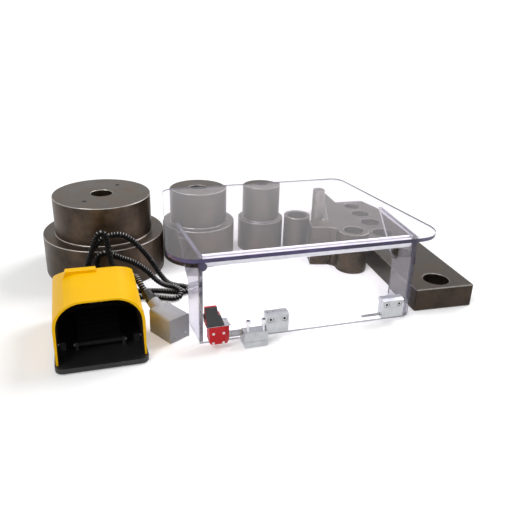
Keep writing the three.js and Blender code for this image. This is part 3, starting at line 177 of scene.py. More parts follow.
def add_mesh(name, points, faces, smooth=True):
    """A mesh object at the origin from points in metres and faces as rows of point numbers."""
    mesh = bpy.data.meshes.new(name)
    mesh.from_pydata(np.asarray(points, float).tolist(), [], [list(f) for f in faces])
    mesh.validate()
    mesh.polygons.foreach_set("use_smooth", [smooth] * len(mesh.polygons))
    mesh.update()
    return add_object(name, mesh)


def grid_faces(rows, columns, wrap_rows=False, wrap_columns=False):
    """Four-sided faces between neighbouring points of a grid, row by row."""
    r = np.arange(rows if wrap_rows else rows - 1)
    c = np.arange(columns if wrap_columns else columns - 1)
    i, j = np.meshgrid(r, c, indexing="ij")
    i2, j2 = (i + 1) % rows, (j + 1) % columns
    corners = [i * columns + j, i * columns + j2, i2 * columns + j2, i2 * columns + j]
    return np.stack(corners, -1).reshape(-1, 4)


def sharpen(piece, angle=30):
    """Shades a piece smooth except across edges sharper than the angle in degrees."""
    piece.data.shade_smooth()
    piece.data.set_sharp_from_angle(angle=math.radians(angle))


def turned(name, centre, profile, sides):
    """A closed profile of (radius, height) turned about a vertical line: x = r cos t, y = r sin t, z = h."""
    profile = np.asarray(profile, float)
    t = np.linspace(0, 2 * np.pi, sides, endpoint=False)
    r, h = profile[:, 0], profile[:, 1]
    x = centre[0] + np.outer(np.cos(t), r)
    y = centre[1] + np.outer(np.sin(t), r)
    z = np.broadcast_to(h, x.shape)
    points = np.stack([x, y, z], -1).reshape(-1, 3)
    piece = add_mesh(name, points, grid_faces(sides, len(profile), True, True))
    merge(piece)
    sharpen(piece)
    return piece


def bevelled(corners, bevel):
    """Cuts each corner of a closed profile with three short steps of a quarter round of the bevel's size.
    One more point beside each end of the round keeps the shading of the flat parts flat."""
    corners = np.asarray(corners, float)
    before = np.roll(corners, 1, 0) - corners
    after = np.roll(corners, -1, 0) - corners
    before /= np.linalg.norm(before, axis=1, keepdims=True)
    after /= np.linalg.norm(after, axis=1, keepdims=True)
    steps = np.array([0.0, 1 / 3, 2 / 3, 1.0]) * np.pi / 2
    rows = [corners + bevel * (before * (1 - math.sin(s)) + after * (1 - math.cos(s))) for s in steps]
    rows = [corners + SUPPORT * bevel * before] + rows + [corners + SUPPORT * bevel * after]
    return np.stack(rows, 1).reshape(-1, 2)


def tube(name, path, radii, sides):
    """A closed tube: rings of the given radii square to a path, each turned no more than the path turns it."""
    path = np.asarray(path, float)
    tangent = np.gradient(path, axis=0)
    tangent /= np.linalg.norm(tangent, axis=1, keepdims=True)
    normal = np.zeros_like(path)
    first = np.cross(tangent[0], [0, 0, 1.0] if abs(tangent[0][2]) < ALONG else [1.0, 0, 0])
    normal[0] = first / np.linalg.norm(first)
    for k in range(1, len(path)):
        n = normal[k - 1] - tangent[k] * normal[k - 1].dot(tangent[k])
        normal[k] = n / np.linalg.norm(n)
    side = np.cross(tangent, normal)
    t = np.linspace(0, 2 * np.pi, sides, endpoint=False)
    ring = np.cos(t)[None, :, None] * normal[:, None, :] + np.sin(t)[None, :, None] * side[:, None, :]
    points = (path[:, None, :] + ring * np.asarray(radii)[:, None, None]).reshape(-1, 3)
    faces = [tuple(f) for f in grid_faces(len(path), sides, False, True)]
    faces.append(tuple(range(sides))[::-1])
    faces.append(tuple(range((len(path) - 1) * sides, len(path) * sides)))
    return add_mesh(name, points, faces)


def flat_plate(name, outline, holes, low, high, bevel):
    """A filled flat curve with round holes, given its thickness and a rounded bevel, made a mesh."""
    curve = bpy.data.curves.new(name, "CURVE")
    curve.dimensions = "2D"
    curve.fill_mode = "BOTH"
    curve.extrude = (high - low) / 2 - bevel
    curve.bevel_depth = bevel
    curve.bevel_resolution = 2
    curve.offset = -bevel
    t = np.linspace(0, 2 * np.pi, HOLE_SIDES, endpoint=False)[::-1]
    loops = [np.asarray(outline, float)]
    loops += [np.stack([x + r * np.cos(t), y + r * np.sin(t)], -1) for x, y, r in holes]
    for loop in loops:
        spline = curve.splines.new("POLY")
        spline.points.add(len(loop) - 1)
        flat = np.concatenate([loop, np.zeros((len(loop), 1)), np.ones((len(loop), 1))], 1)
        spline.points.foreach_set("co", flat.ravel())
        spline.use_cyclic_u = True
    holder = add_object(name + "_flat", curve)
    depsgraph = bpy.context.evaluated_depsgraph_get()
    mesh = bpy.data.meshes.new_from_object(holder.evaluated_get(depsgraph))
    bpy.data.objects.remove(holder)
    mesh.name = name
    mesh.materials.clear()
    mesh.transform(Matrix.Translation((0, 0, (low + high) / 2)))
    piece = add_object(name, mesh)
    merge(piece)
    sharpen(piece, PLATE_SHARP)
    return piece


def merge(piece):
    """Joins points that lie together and turns every face outwards."""
    shape = bmesh.new()
    shape.from_mesh(piece.data)
    bmesh.ops.remove_doubles(shape, verts=shape.verts, dist=SAME_POINT)
    bmesh.ops.recalc_face_normals(shape, faces=shape.faces)
    shape.to_mesh(piece.data)
    shape.free()


def rounded_copy(node, name, width, segments=2, angle=35):
    """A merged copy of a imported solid, its flat faces joined up and its sharp edges rounded."""
    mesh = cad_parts[node].data.copy()
    mesh.name = name
    piece = add_object(name, mesh)
    shape = bmesh.new()
    shape.from_mesh(mesh)
    bmesh.ops.remove_doubles(shape, verts=shape.verts, dist=2 * SAME_POINT)
    bmesh.ops.dissolve_limit(shape, angle_limit=math.radians(ONE_FACE), verts=shape.verts, edges=shape.edges)
    shape.to_mesh(mesh)
    shape.free()
    sharpen(piece, angle)
    edge = piece.modifiers.new("Rounded edges", "BEVEL")
    edge.width = width
    edge.segments = segments
    edge.limit_method = "ANGLE"
    edge.angle_limit = math.radians(angle)
    edge.harden_normals = True
    return piece


def turn_outline(outline, x, y, degrees):
    """Turns flat points about zero and moves them to a place of the layout, in metres."""
    c, s = math.cos(math.radians(degrees)), math.sin(math.radians(degrees))
    u, v = np.asarray(outline, float).T[:2]
    flat = np.stack([x + u * c - v * s, y + u * s + v * c], -1)
    return (flat - [LAYOUT_X, LAYOUT_Y]) * MM


def round_corners(corners, steps):
    """Replaces each corner (u, v, radius) with an arc that touches both of its sides."""
    out = []
    count = len(corners)
    for k, (u, v, radius) in enumerate(corners):
        here = np.array([u, v], float)
        if not radius:
            out.append(here)
            continue
        a = np.array(corners[k - 1][:2], float) - here
        b = np.array(corners[(k + 1) % count][:2], float) - here
        a /= np.linalg.norm(a)
        b /= np.linalg.norm(b)
        half = math.acos(np.clip(a.dot(b), -1, 1)) / 2
        middle = (a + b) / np.linalg.norm(a + b)
        centre = here + middle * radius / math.sin(half)
        start = here + a * radius / math.tan(half) - centre
        end = here + b * radius / math.tan(half) - centre
        angle = math.atan2(start[1], start[0])
        sweep = (math.atan2(end[1], end[0]) - angle + np.pi) % (2 * np.pi) - np.pi
        t = angle + sweep * np.linspace(0, 1, steps + 1)
        out.extend(centre + radius * np.stack([np.cos(t), np.sin(t)], -1))
    return np.array(out)


def smooth_route(route, count):
    """A centripetal Catmull-Rom curve through the route's points, as points at even steps and its length."""
    p = np.array(route, float)
    p = np.vstack([2 * p[0] - p[1], p, 2 * p[-1] - p[-2]])
    d = np.sqrt(np.linalg.norm(np.diff(p, axis=0), axis=1))[:, None]
    p0, p1, p2, p3 = p[:-3], p[1:-2], p[2:-1], p[3:]
    d0, d1, d2 = d[:-2], d[1:-1], d[2:]
    t1 = ((p1 - p0) / d0 - (p2 - p0) / (d0 + d1) + (p2 - p1) / d1) * d1
    t2 = ((p2 - p1) / d1 - (p3 - p1) / (d1 + d2) + (p3 - p2) / d2) * d1
    t = np.linspace(0, 1, ROUTE_STEPS, endpoint=False)[None, :, None]
    a = (-3 * p1 + 3 * p2 - 2 * t1 - t2)[:, None]
    b = (2 * p1 - 2 * p2 + t1 + t2)[:, None]
    fine = (p1[:, None] + t1[:, None] * t + a * t**2 + b * t**3).reshape(-1, 3)
    fine = np.vstack([fine, p2[-1]])
    run = np.r_[0, np.cumsum(np.linalg.norm(np.diff(fine, axis=0), axis=1))]
    even = np.linspace(0, run[-1], count)
    return np.stack([np.interp(even, run, fine[:, k]) for k in range(3)], -1), run[-1]


def finish_piece(piece, material, body, replaces=()):
    """Gives a piece its material, the body it moves with and the solids it stands for."""
    piece.data.materials.clear()
    piece.data.materials.append(material)
    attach(piece, body)
    if replaces:
        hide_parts(*replaces)


def finish_rounded(nodes, material, body, width):
    """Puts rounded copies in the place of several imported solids."""
    for name in nodes:
        finish_piece(rounded_copy(name, name + "_rounded", width), material, body, [name])


def finish_stub(name, path, radii, sides, material, body):
    """A short tube with sharp ends, finished."""
    piece = tube(name, path, radii, sides)
    sharpen(piece)
    finish_piece(piece, material, body)


def paint_faces(piece, material, chosen):
    """Gives a second material to the faces whose middle and normal pass a test."""
    piece.data.materials.append(material)
    for face in piece.data.polygons:
        if chosen(face.center, face.normal):
            face.material_index = 1


def dress(nodes, material):
    """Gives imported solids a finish."""
    for name in nodes:
        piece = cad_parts[name]
        piece.data.materials.clear()
        piece.data.materials.append(material)


# Shared shader groups


def new_group(name, inputs, outputs):
    """An empty shader group with named sockets, or the one that is already there."""
    if name in bpy.data.node_groups:
        return bpy.data.node_groups[name], None, None
    group = bpy.data.node_groups.new(name, "ShaderNodeTree")
    for label, kind, default in inputs:
        socket = group.interface.new_socket(label, in_out="INPUT", socket_type=kind)
        socket.default_value = default
    for label, kind in outputs:
        group.interface.new_socket(label, in_out="OUTPUT", socket_type=kind)
    return group, group.nodes.new("NodeGroupInput"), group.nodes.new("NodeGroupOutput")


def feed(links, value, socket):
    """Gives an input a plain value, or links it to a socket."""
    if isinstance(value, (int, float, tuple)):
        socket.default_value = value
    else:
        links.new(value, socket)


def math_node(nodes, links, operation, *values, clamp=False):
    """A Math node whose inputs are sockets or numbers."""
    node = nodes.new("ShaderNodeMath")
    node.operation = operation
    node.use_clamp = clamp
    for value, socket in zip(values, node.inputs):
        feed(links, value, socket)
    return node.outputs[0]


def noise_node(nodes, links, scale, detail=2.0, points=None):
    """A Noise node on the piece's own points, or on the given ones."""
    noise = nodes.new("ShaderNodeTexNoise")
    noise.inputs["Detail"].default_value = detail
    feed(links, scale, noise.inputs["Scale"])
    if points is None:
        points = nodes.new("ShaderNodeTexCoord").outputs["Object"]
    links.new(points, noise.inputs["Vector"])
    return noise


def mix_colours(nodes, links, factor, first, second):
    """A colour between two, by a factor that is a socket."""
    mix = nodes.new("ShaderNodeMix")
    mix.data_type = "RGBA"
    links.new(factor, mix.inputs["Factor"])
    feed(links, first, mix.inputs[6])
    feed(links, second, mix.inputs[7])
    return mix.outputs[2]


SLANT_GAIN = 4.2  # brings the product of level and upright, a quarter at most, to one
HIGHLIGHT_SPREAD, HIGHLIGHT_LEAST = 1.1, 0.25  # how much the painted highlight changes along an edge, and its least


def bevel_highlight_group():
    """Mask of slanting faces for a painted highlight: one on a bevel between a level and an upright face, zero on
    both, patchy along the edge.
    """
    group, inputs, outputs = new_group(
        "Bevel highlight mask", [("Strength", "NodeSocketFloat", 1.0)], [("Mask", "NodeSocketFloat")])
    if inputs is None:
        return group
    nodes, links = group.nodes, group.links
    normal = nodes.new("ShaderNodeTexCoord").outputs["Normal"]
    split = nodes.new("ShaderNodeSeparateXYZ")
    links.new(normal, split.inputs[0])
    level = math_node(nodes, links, "ABSOLUTE", split.outputs[2])
    upright = math_node(nodes, links, "SUBTRACT", 1.0, level)
    product = math_node(nodes, links, "MULTIPLY", level, upright)
    mask = math_node(nodes, links, "MULTIPLY", product, SLANT_GAIN, clamp=True)
    noise = noise_node(nodes, links, 60, 4)
    rim_highlight = math_node(nodes, links, "MULTIPLY_ADD", noise.outputs[0], HIGHLIGHT_SPREAD, HIGHLIGHT_LEAST)
    patchy = math_node(nodes, links, "MULTIPLY", mask, rim_highlight)
    final = math_node(nodes, links, "MULTIPLY", patchy, inputs.outputs[0], clamp=True)
    links.new(final, outputs.inputs[0])
    return group


def turning_group():
    """Rings round a centre: fine and broad noise, read along the distance from it and the height."""
    group, inputs, outputs = new_group(
        "Turning marks",
        [("Centre", "NodeSocketVector", (0, 0, 0)), ("Scale", "NodeSocketFloat", 900.0)],
        [("Marks", "NodeSocketFloat"), ("Bands", "NodeSocketFloat")])
    if inputs is None:
        return group
    nodes, links = group.nodes, group.links
    shift = nodes.new("ShaderNodeVectorMath")
    shift.operation = "SUBTRACT"
    links.new(nodes.new("ShaderNodeTexCoord").outputs["Object"], shift.inputs[0])
    links.new(inputs.outputs[0], shift.inputs[1])
    split = nodes.new("ShaderNodeSeparateXYZ")
    links.new(shift.outputs[0], split.inputs[0])
    x2 = math_node(nodes, links, "MULTIPLY", split.outputs[0], split.outputs[0])
    y2 = math_node(nodes, links, "MULTIPLY", split.outputs[1], split.outputs[1])
    away = math_node(nodes, links, "SQRT", math_node(nodes, links, "ADD", x2, y2))
    both = nodes.new("ShaderNodeCombineXYZ")
    links.new(away, both.inputs[0])
    links.new(split.outputs[2], both.inputs[1])
    for index, (share, detail) in enumerate(((1.0, 2.0), (0.13, 3.0))):
        scale = math_node(nodes, links, "MULTIPLY", inputs.outputs[1], share)
        noise = noise_node(nodes, links, scale, detail, both.outputs[0])
        links.new(noise.outputs[0], outputs.inputs[index])
    return group


def cloud_group():
    """Soft patches between two colours, from noise on the piece's own points."""
    group, inputs, outputs = new_group(
        "Patches",
        [("Dark", "NodeSocketColor", (0, 0, 0, 1)), ("Light", "NodeSocketColor", (1, 1, 1, 1)),
         ("Scale", "NodeSocketFloat", 20.0), ("Contrast", "NodeSocketFloat", 1.0)],
        [("Color", "NodeSocketColor"), ("Value", "NodeSocketFloat")])
    if inputs is None:
        return group
    nodes, links = group.nodes, group.links
    noise = noise_node(nodes, links, inputs.outputs["Scale"], 5)
    noise.inputs["Roughness"].default_value = 0.6
    centred = math_node(nodes, links, "SUBTRACT", noise.outputs[0], 0.5)
    spread = math_node(nodes, links, "MULTIPLY", centred, inputs.outputs["Contrast"])
    value = math_node(nodes, links, "ADD", spread, 0.5, clamp=True)
    colour = mix_colours(nodes, links, value, inputs.outputs["Dark"], inputs.outputs["Light"])
    links.new(colour, outputs.inputs[0])
    links.new(value, outputs.inputs[1])
    return group


def patches_node(nodes, dark, light, scale, contrast):
    """Places the patches between two colours."""
    return use_group(nodes, cloud_group(), Dark=dark, Light=light, Scale=scale, Contrast=contrast)


def new_material(name, roughness, metallic=0.0, **sockets):
    """A material with one Principled shader. Sockets are given by their names, with _ for a space."""
    material = bpy.data.materials.new(name)
    material.use_nodes = True
    shader = material.node_tree.nodes["Principled BSDF"]
    shader.inputs["Roughness"].default_value = roughness
    shader.inputs["Metallic"].default_value = metallic
    for key, value in sockets.items():
        shader.inputs[key.replace("_", " ")].default_value = value
    return material, material.node_tree.nodes, material.node_tree.links, shader


def use_group(nodes, group, **values):
    """Places a group and sets its inputs."""
    node = nodes.new("ShaderNodeGroup")
    node.node_tree = group
    for key, value in values.items():
        node.inputs[key].default_value = value
    return node


def shade(colour, factor):
    """A colour made darker or lighter."""
    return tuple(min(1.0, c * factor) for c in colour[:3]) + (1,)


def bump(nodes, links, shader, height, distance, strength):
    """Feeds a height through a Bump node to the shader's normal."""
    node = nodes.new("ShaderNodeBump")
    node.inputs["Distance"].default_value = distance
    node.inputs["Strength"].default_value = strength
    links.new(height, node.inputs["Height"])
    links.new(node.outputs[0], shader.inputs["Normal"])


def vary(nodes, links, value, low, high, socket):
    """Maps a value from zero to one onto a range and feeds it to a socket."""
    node = nodes.new("ShaderNodeMapRange")
    node.inputs["To Min"].default_value = low
    node.inputs["To Max"].default_value = high
    links.new(value, node.inputs["Value"])
    links.new(node.outputs[0], socket)


# Stain's brightness, scale of the marks, their share of the colour, strength of the painted highlight on the
# edges and depth of the marks
TURNED = {"stain": 1.0, "scale": 900.0, "marks": 0.42, "highlight_strength": 0.8, "depth": 0.00002}
MILLED = {"stain": 0.55, "scale": 500.0, "marks": 0.3, "highlight_strength": 0.55, "depth": 0.00001}


def steel_material(name, centre, settings, cut=TURNED):
    """Dark machined steel: brown patches of oil and scale, turning or milling marks and a painted highlight on
    the bevels.
    """
    material, nodes, links, shader = new_material(name, 0.4, 0.75, Specular_IOR_Level=0.4)
    dark = tuple(settings.colour)
    patches = patches_node(nodes, shade(dark, 0.6), shade(settings.stain, cut["stain"]), 22.0, 2.2)
    marks = use_group(nodes, turning_group(), Centre=centre, Scale=cut["scale"])
    fine = mix_colours(nodes, links, marks.outputs["Bands"], shade(dark, 0.35), shade(dark, 1.7))
    part = math_node(nodes, links, "MULTIPLY", marks.outputs["Marks"], cut["marks"])
    body = mix_colours(nodes, links, part, patches.outputs["Color"], fine)
    # Painted highlight: the bevels are mixed towards the pale rim colour, patchy along them
    edge = use_group(nodes, bevel_highlight_group(), Strength=cut["highlight_strength"])
    colour = mix_colours(nodes, links, edge.outputs[0], body, tuple(settings.rim_highlight))
    links.new(colour, shader.inputs["Base Color"])
    vary(nodes, links, patches.outputs["Value"], 0.28, 0.50, shader.inputs["Roughness"])
    bump(nodes, links, shader, marks.outputs["Marks"], cut["depth"], 0.12)
    return material


def moulded_material(name, colour, roughness=0.4, grain=2200.0, depth=0.00003, spread=0.12, sheen=0.5):
    """Moulded plastic or paint: a slight change of shade and a fine grain. Sheen is its specular level."""
    material, nodes, links, shader = new_material(name, roughness, Specular_IOR_Level=sheen)
    patches = patches_node(nodes, shade(colour, 1 - spread), shade(colour, 1 + spread), 25.0, 1.4)
    links.new(patches.outputs["Color"], shader.inputs["Base Color"])
    dullest = min(1, roughness * 1.2)
    vary(nodes, links, patches.outputs["Value"], roughness * 0.85, dullest, shader.inputs["Roughness"])
    noise = noise_node(nodes, links, grain)
    bump(nodes, links, shader, noise.outputs[0], depth, 0.4)
    return material


def plated_material(name, colour, roughness):
    """Plated metal: fine brushed lines along X and small clouds in its sheen."""
    material, nodes, links, shader = new_material(name, roughness, 1.0)
    patches = patches_node(nodes, shade(colour, 0.82), shade(colour, 1.12), 70.0, 1.8)
    links.new(patches.outputs["Color"], shader.inputs["Base Color"])
    sheen = patches.outputs["Value"]
    vary(nodes, links, sheen, roughness * 0.8, roughness * 1.35, shader.inputs["Roughness"])
    stretch = nodes.new("ShaderNodeMapping")
    stretch.inputs["Scale"].default_value = (0.06, 1, 1)
    links.new(nodes.new("ShaderNodeTexCoord").outputs["Object"], stretch.inputs["Vector"])
    noise = noise_node(nodes, links, 1400.0, points=stretch.outputs[0])
    bump(nodes, links, shader, noise.outputs[0], 0.00002, 0.35)
    return material


def clear_material(name, colour, index=1.4):
    """Clear polished sheet. Lamps shine through it, so that it casts hardly any shade."""
    material, nodes, links, shader = new_material(
        name, 0.02, Transmission_Weight=1.0, IOR=index, Base_Color=tuple(colour))
    noise = noise_node(nodes, links, 40)
    vary(nodes, links, noise.outputs[0], 0.01, 0.04, shader.inputs["Roughness"])
    through = nodes.new("ShaderNodeBsdfTransparent")
    through.inputs[0].default_value = (0.93, 0.93, 0.95, 1)
    mix = nodes.new("ShaderNodeMixShader")
    links.new(nodes.new("ShaderNodeLightPath").outputs["Is Shadow Ray"], mix.inputs[0])
    links.new(shader.outputs[0], mix.inputs[1])
    links.new(through.outputs[0], mix.inputs[2])
    links.new(mix.outputs[0], nodes["Material Output"].inputs["Surface"])
    return material


def rim_material(name, colour, alpha=0.8, low=0.6, high=2.4):
    """Cut edge of a clear sheet: glossy, with darker and paler stretches along it."""
    material, nodes, links, shader = new_material(name, 0.18, Alpha=alpha)
    patches = patches_node(nodes, shade(colour, low), shade(colour, high), 7.0, 3.0)
    links.new(patches.outputs["Color"], shader.inputs["Base Color"])
    return material


# Operators


LENS, SENSOR = 42.3, 36  # millimetres
EYE = (-206.8, -990.2, 641.2)  # the camera's place in the layout, in millimetres
VIEW_AXES = (  # the picture's right and up, and the way back to the camera
    (0.9562, -0.2911, 0.0301), (0.0923, 0.3976, 0.9129), (-0.2777, -0.8702, 0.4071))


class BENDER_OT_camera(bpy.types.Operator):
    """Places the camera at the photograph's viewing angle."""

    bl_idname = "bender.camera"
    bl_label = "Camera"

    def execute(self, context):
        camera = bpy.data.cameras.new("camera")
        camera.lens = LENS
        camera.sensor_width = SENSOR
        camera.clip_start = 0.05
        camera.clip_end = 200
        holder = add_object("camera", camera)
        turn = Matrix(VIEW_AXES).transposed().to_4x4()
        holder.matrix_world = Matrix.Translation(place(*EYE)) @ turn
        context.scene.camera = holder
        return {"FINISHED"}


# Points of the layout from the pedal's gland to the connector's neck, in millimetres
CONDUIT_ROUTE = [
    (-190, 196.6, 38), (-190, 203.1, 38), (-190, 209.6, 38), (-192, 228, 43), (-194.5, 245, 56),
    (-193, 257, 75), (-187, 263, 95), (-175, 266, 115), (-158, 267, 130), (-138, 267, 136), (-119, 267, 135),
    (-101, 266, 125), (-83, 266, 106), (-65, 266, 82), (-49, 264, 56), (-36, 259, 32), (-21, 254, 14),
    (-4, 249, 7.6), (12, 241, 7), (22, 228, 7), (18, 215.5, 7), (4, 211.5, 7), (-14, 217, 7), (-33, 225, 7),
    (-54, 233, 7), (-77, 238, 7), (-101, 239, 7.5), (-124, 234, 9.5), (-143, 229, 16), (-156, 231, 30),
    (-163, 237, 48), (-170, 241, 66), (-175, 243, 83), (-172, 243, 97), (-161, 243, 104.5), (-148, 243, 103),
    (-135, 243, 96.5), (-121, 243, 89), (-102, 243, 80), (-84, 243, 67), (-67, 243, 51), (-52, 240, 33.5),
    (-39, 233, 24), (-25, 222, 21.5), (-10, 211, 21), (-1.5, 200, 17), (-5, 189, 10), (-19, 186, 7),
    (-38, 193, 7), (-60, 203, 7), (-85, 209, 7), (-111, 210, 7), (-137, 207, 7), (-162, 205, 7),
    (-184, 207, 10), (-201, 211, 20), (-210, 215, 37), (-210.5, 219, 56), (-204.5, 222, 75), (-196, 224, 91),
    (-187, 225, 114), (-180, 225, 135), (-173.5, 225, 150), (-168, 225, 157.5), (-160.5, 225, 159.5),
    (-154.5, 225, 153.5), (-152, 225, 141), (-150, 225, 124), (-147, 225, 98), (-142.5, 223, 77),
    (-137, 217, 64), (-128, 206, 59.5), (-117.5, 191, 65), (-108, 174, 76), (-101, 158, 81), (-97, 143, 77.5),
]


NECK_LENGTH = 66.3  # from the neck's root to where the conduit leaves its gland
NECK_ENDS = (13, 6.5, 0)  # the route's last points, as distances from there
RIB_STEPS, HOSE_SIDES = 8, 20
# How far up a face has to look to get the painted highlight, how fast that grows, and how narrow the highlighted
# crests are
GLINT_FROM, GLINT_GAIN, GLINT_NARROW = 0.48, 2.6, 9.0


def neck_point(along):
    """A layout point on the connector's neck, which rises to the rear by 28 degrees."""
    turn, tilt = math.radians(28.7), math.radians(28)
    u, v = 24, 50 + along * math.cos(tilt)
    x = -56 + u * math.cos(turn) - v * math.sin(turn)
    y = 13 + u * math.sin(turn) + v * math.cos(turn)
    return x, y, 34 + along * math.sin(tilt)


class BENDER_OT_conduit(bpy.types.Operator):
    """Corrugated conduit: rings along its route whose radius is a rounded wave of the distance run."""

    bl_idname = "bender.conduit"
    bl_label = "Conduit"

    def execute(self, context):
        size = context.scene.bender_conduit
        route = place_all(CONDUIT_ROUTE + [neck_point(NECK_LENGTH + away) for away in NECK_ENDS])
        _, length = smooth_route(route, len(route))
        ribs = int(length / size.pitch)
        path, length = smooth_route(route, ribs * RIB_STEPS + 1)
        groove = ((1 + np.cos(np.arange(len(path)) * 2 * np.pi / RIB_STEPS)) / 2) ** 1.5
        piece = tube("conduit_hose", path, size.radius - size.depth * groove, HOSE_SIDES)
        crest = piece.data.attributes.new("crest", "FLOAT", "POINT")
        crest.data.foreach_set("value", np.repeat(1 - groove, HOSE_SIDES).astype(np.float32))
        finish_piece(piece, self.hose_material(), "foot_pedal", ["conduit"])
        return {"FINISHED"}

    def hose_material(self):
        """Black hose with a painted highlight: paler along the top of each rib, where it faces upwards."""
        material, nodes, links, shader = new_material("black conduit", 0.3, Specular_IOR_Level=0.08)
        crest = nodes.new("ShaderNodeAttribute")
        crest.attribute_name = "crest"
        split = nodes.new("ShaderNodeSeparateXYZ")
        links.new(nodes.new("ShaderNodeTexCoord").outputs["Normal"], split.inputs[0])
        upward = math_node(nodes, links, "SUBTRACT", split.outputs[2], GLINT_FROM, clamp=True)
        topmost = math_node(nodes, links, "MULTIPLY", upward, GLINT_GAIN, clamp=True)
        narrow = math_node(nodes, links, "POWER", crest.outputs["Fac"], GLINT_NARROW)
        crest_glint = math_node(nodes, links, "MULTIPLY", narrow, topmost)
        # Pale colours of the painted highlight on the upper rib crests
        patches = patches_node(nodes, (0.25, 0.25, 0.255, 1), (0.9, 0.9, 0.9, 1), 60.0, 1.8)
        colour = mix_colours(nodes, links, crest_glint, (0.004, 0.004, 0.004, 1), patches.outputs["Color"])
        links.new(colour, shader.inputs["Base Color"])
        vary(nodes, links, crest_glint, 0.5, 0.2, shader.inputs["Roughness"])
        return material


def node_centre(name):
    """Middle of a node's box across and along, and its lowest and highest heights."""
    low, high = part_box(name)
    return ((low.x + high.x) / 2, (low.y + high.y) / 2), low.z, high.z


# Name, radii of the wide and the narrow tier, height of the step and radius of the bore
MANDRELS = (
    ("large_mandrel", 0.1415, 0.1135, 0.095, 0.025),
    ("medium_mandrel", 0.0905, 0.071, 0.091, 0.025),
    ("small_mandrel", 0.059, 0.048, 0.083, 0.017),
)
FULL_BEVEL_RADIUS = 0.14  # a narrower tool's rims have a smaller bevel
SLEEVE_BORE, SLEEVE_RADIUS, SLEEVE_BEVEL = 0.0265, 0.0343, 0.0012
PEG_RADIUS, PEG_CIRCLE, PEG_TURN = 0.0055, 0.069, math.radians(53)


class BENDER_OT_mandrels(bpy.types.Operator):
    """Stepped round mandrels, the sleeve and the plain pin, each a bevelled profile turned about its bore."""

    bl_idname = "bender.mandrels"
    bl_label = "Mandrels, sleeve and pin"

    def execute(self, context):
        steel = context.scene.bender_steel
        for name, wide, narrow, step, bore in MANDRELS:
            centre, low, high = node_centre(name)
            corners = [(bore, low), (wide, low), (wide, step), (narrow, step), (narrow, high), (bore, high)]
            profile = bevelled(corners, steel.bevel * (wide / FULL_BEVEL_RADIUS) ** 0.4)
            self.turn_tool(name, centre, profile, steel.sides, steel, name + "_body", "tool_steel")
        centre, low, high = node_centre("large_mandrel")
        self.add_peg_hole_shades(centre, high, "large_mandrel_body")
        centre, low, high = node_centre("spacer_sleeve")
        corners = [(SLEEVE_BORE, low), (SLEEVE_RADIUS, low), (SLEEVE_RADIUS, high), (SLEEVE_BORE, high)]
        profile = bevelled(corners, SLEEVE_BEVEL)
        self.turn_tool("spacer_sleeve", centre, profile, 96, steel, "sleeve_body", "tool_steel")
        centre, low, high = node_centre("plain_pin")
        profile = [
            (0.0, low), (0.0143, low), (0.0155, low + 0.0012), (0.0155, high - 0.003),
            (0.0148, high - 0.0011), (0.0125, high), (0.0, high)]
        self.turn_tool("plain_pin", centre, profile, 72, steel, "pin_body", "ground_steel")
        return {"FINISHED"}

    def turn_tool(self, name, centre, profile, sides, steel, body, slot):
        """One turned tool with marks about its own centre."""
        piece = turned(name + "_turned", centre, profile, sides)
        material = steel_material(name.replace("_", " ") + " steel", (centre[0], centre[1], 0), steel)
        finish_piece(piece, material, body, [name])

    def add_peg_hole_shades(self, centre, top, body):
        """Two dark discs of painted shade in the mouths of the peg holes, each a shallow profile turned about its
        centre.
        """
        # Near-black colour: painted shade inside the holes
        hole = new_material("painted hole shade", 0.9, Base_Color=(0.006, 0.005, 0.005, 1))[0]
        low, high = top - 0.001, top + 0.00006
        profile = [(0.0, low), (PEG_RADIUS, low), (PEG_RADIUS, high), (0.0, high)]
        for index, away in enumerate((PEG_CIRCLE, -PEG_CIRCLE)):
            middle = (centre[0] + away * math.cos(PEG_TURN), centre[1] + away * math.sin(PEG_TURN))
            piece = turned("peg_hole_%d" % (index + 1), middle, profile, 32)
            finish_piece(piece, hole, body)


# The bar's outline as (u, v, corner radius), its length without the tongue, and its holes as shares of that
# length and of the widest hole's radius. Places are x, y and the turn in degrees.
BAR_OUTLINE = [
    (0, 0, 3), (140, 0, 3), (140, 501, 4), (118, 572, 4), (35, 572, 3), (35, 656, 3), (0, 656, 3), (0, 572, 3),
    (-44, 429, 6), (-44, 372, 6), (0, 328, 6)]
BAR_LENGTH, BAR_THICKNESS, BAR_PLACE = 572, 0.053, (483, 14, -2.4)
BAR_HOLES = ((0.075, 1), (0.346, 1), (0.556, 1), (0.698, 0.93), (0.82, 0.86), (0.932, 0.8))
HOLE_LINE, HOLE_RADIUS, MILLING_CENTRE = 70, 0.0288, (553, 300, 0)
BRACKET_LENGTH, BRACKET_HEIGHT, BRACKET_PLACE = 119, 0.098, (348.2, 298.6, -13)
BOSS_X, BOSS_Y, BOSS_RADIUS, BOSS_BORE, FILLET = 101, -18, 38.5, 0.0248, 14


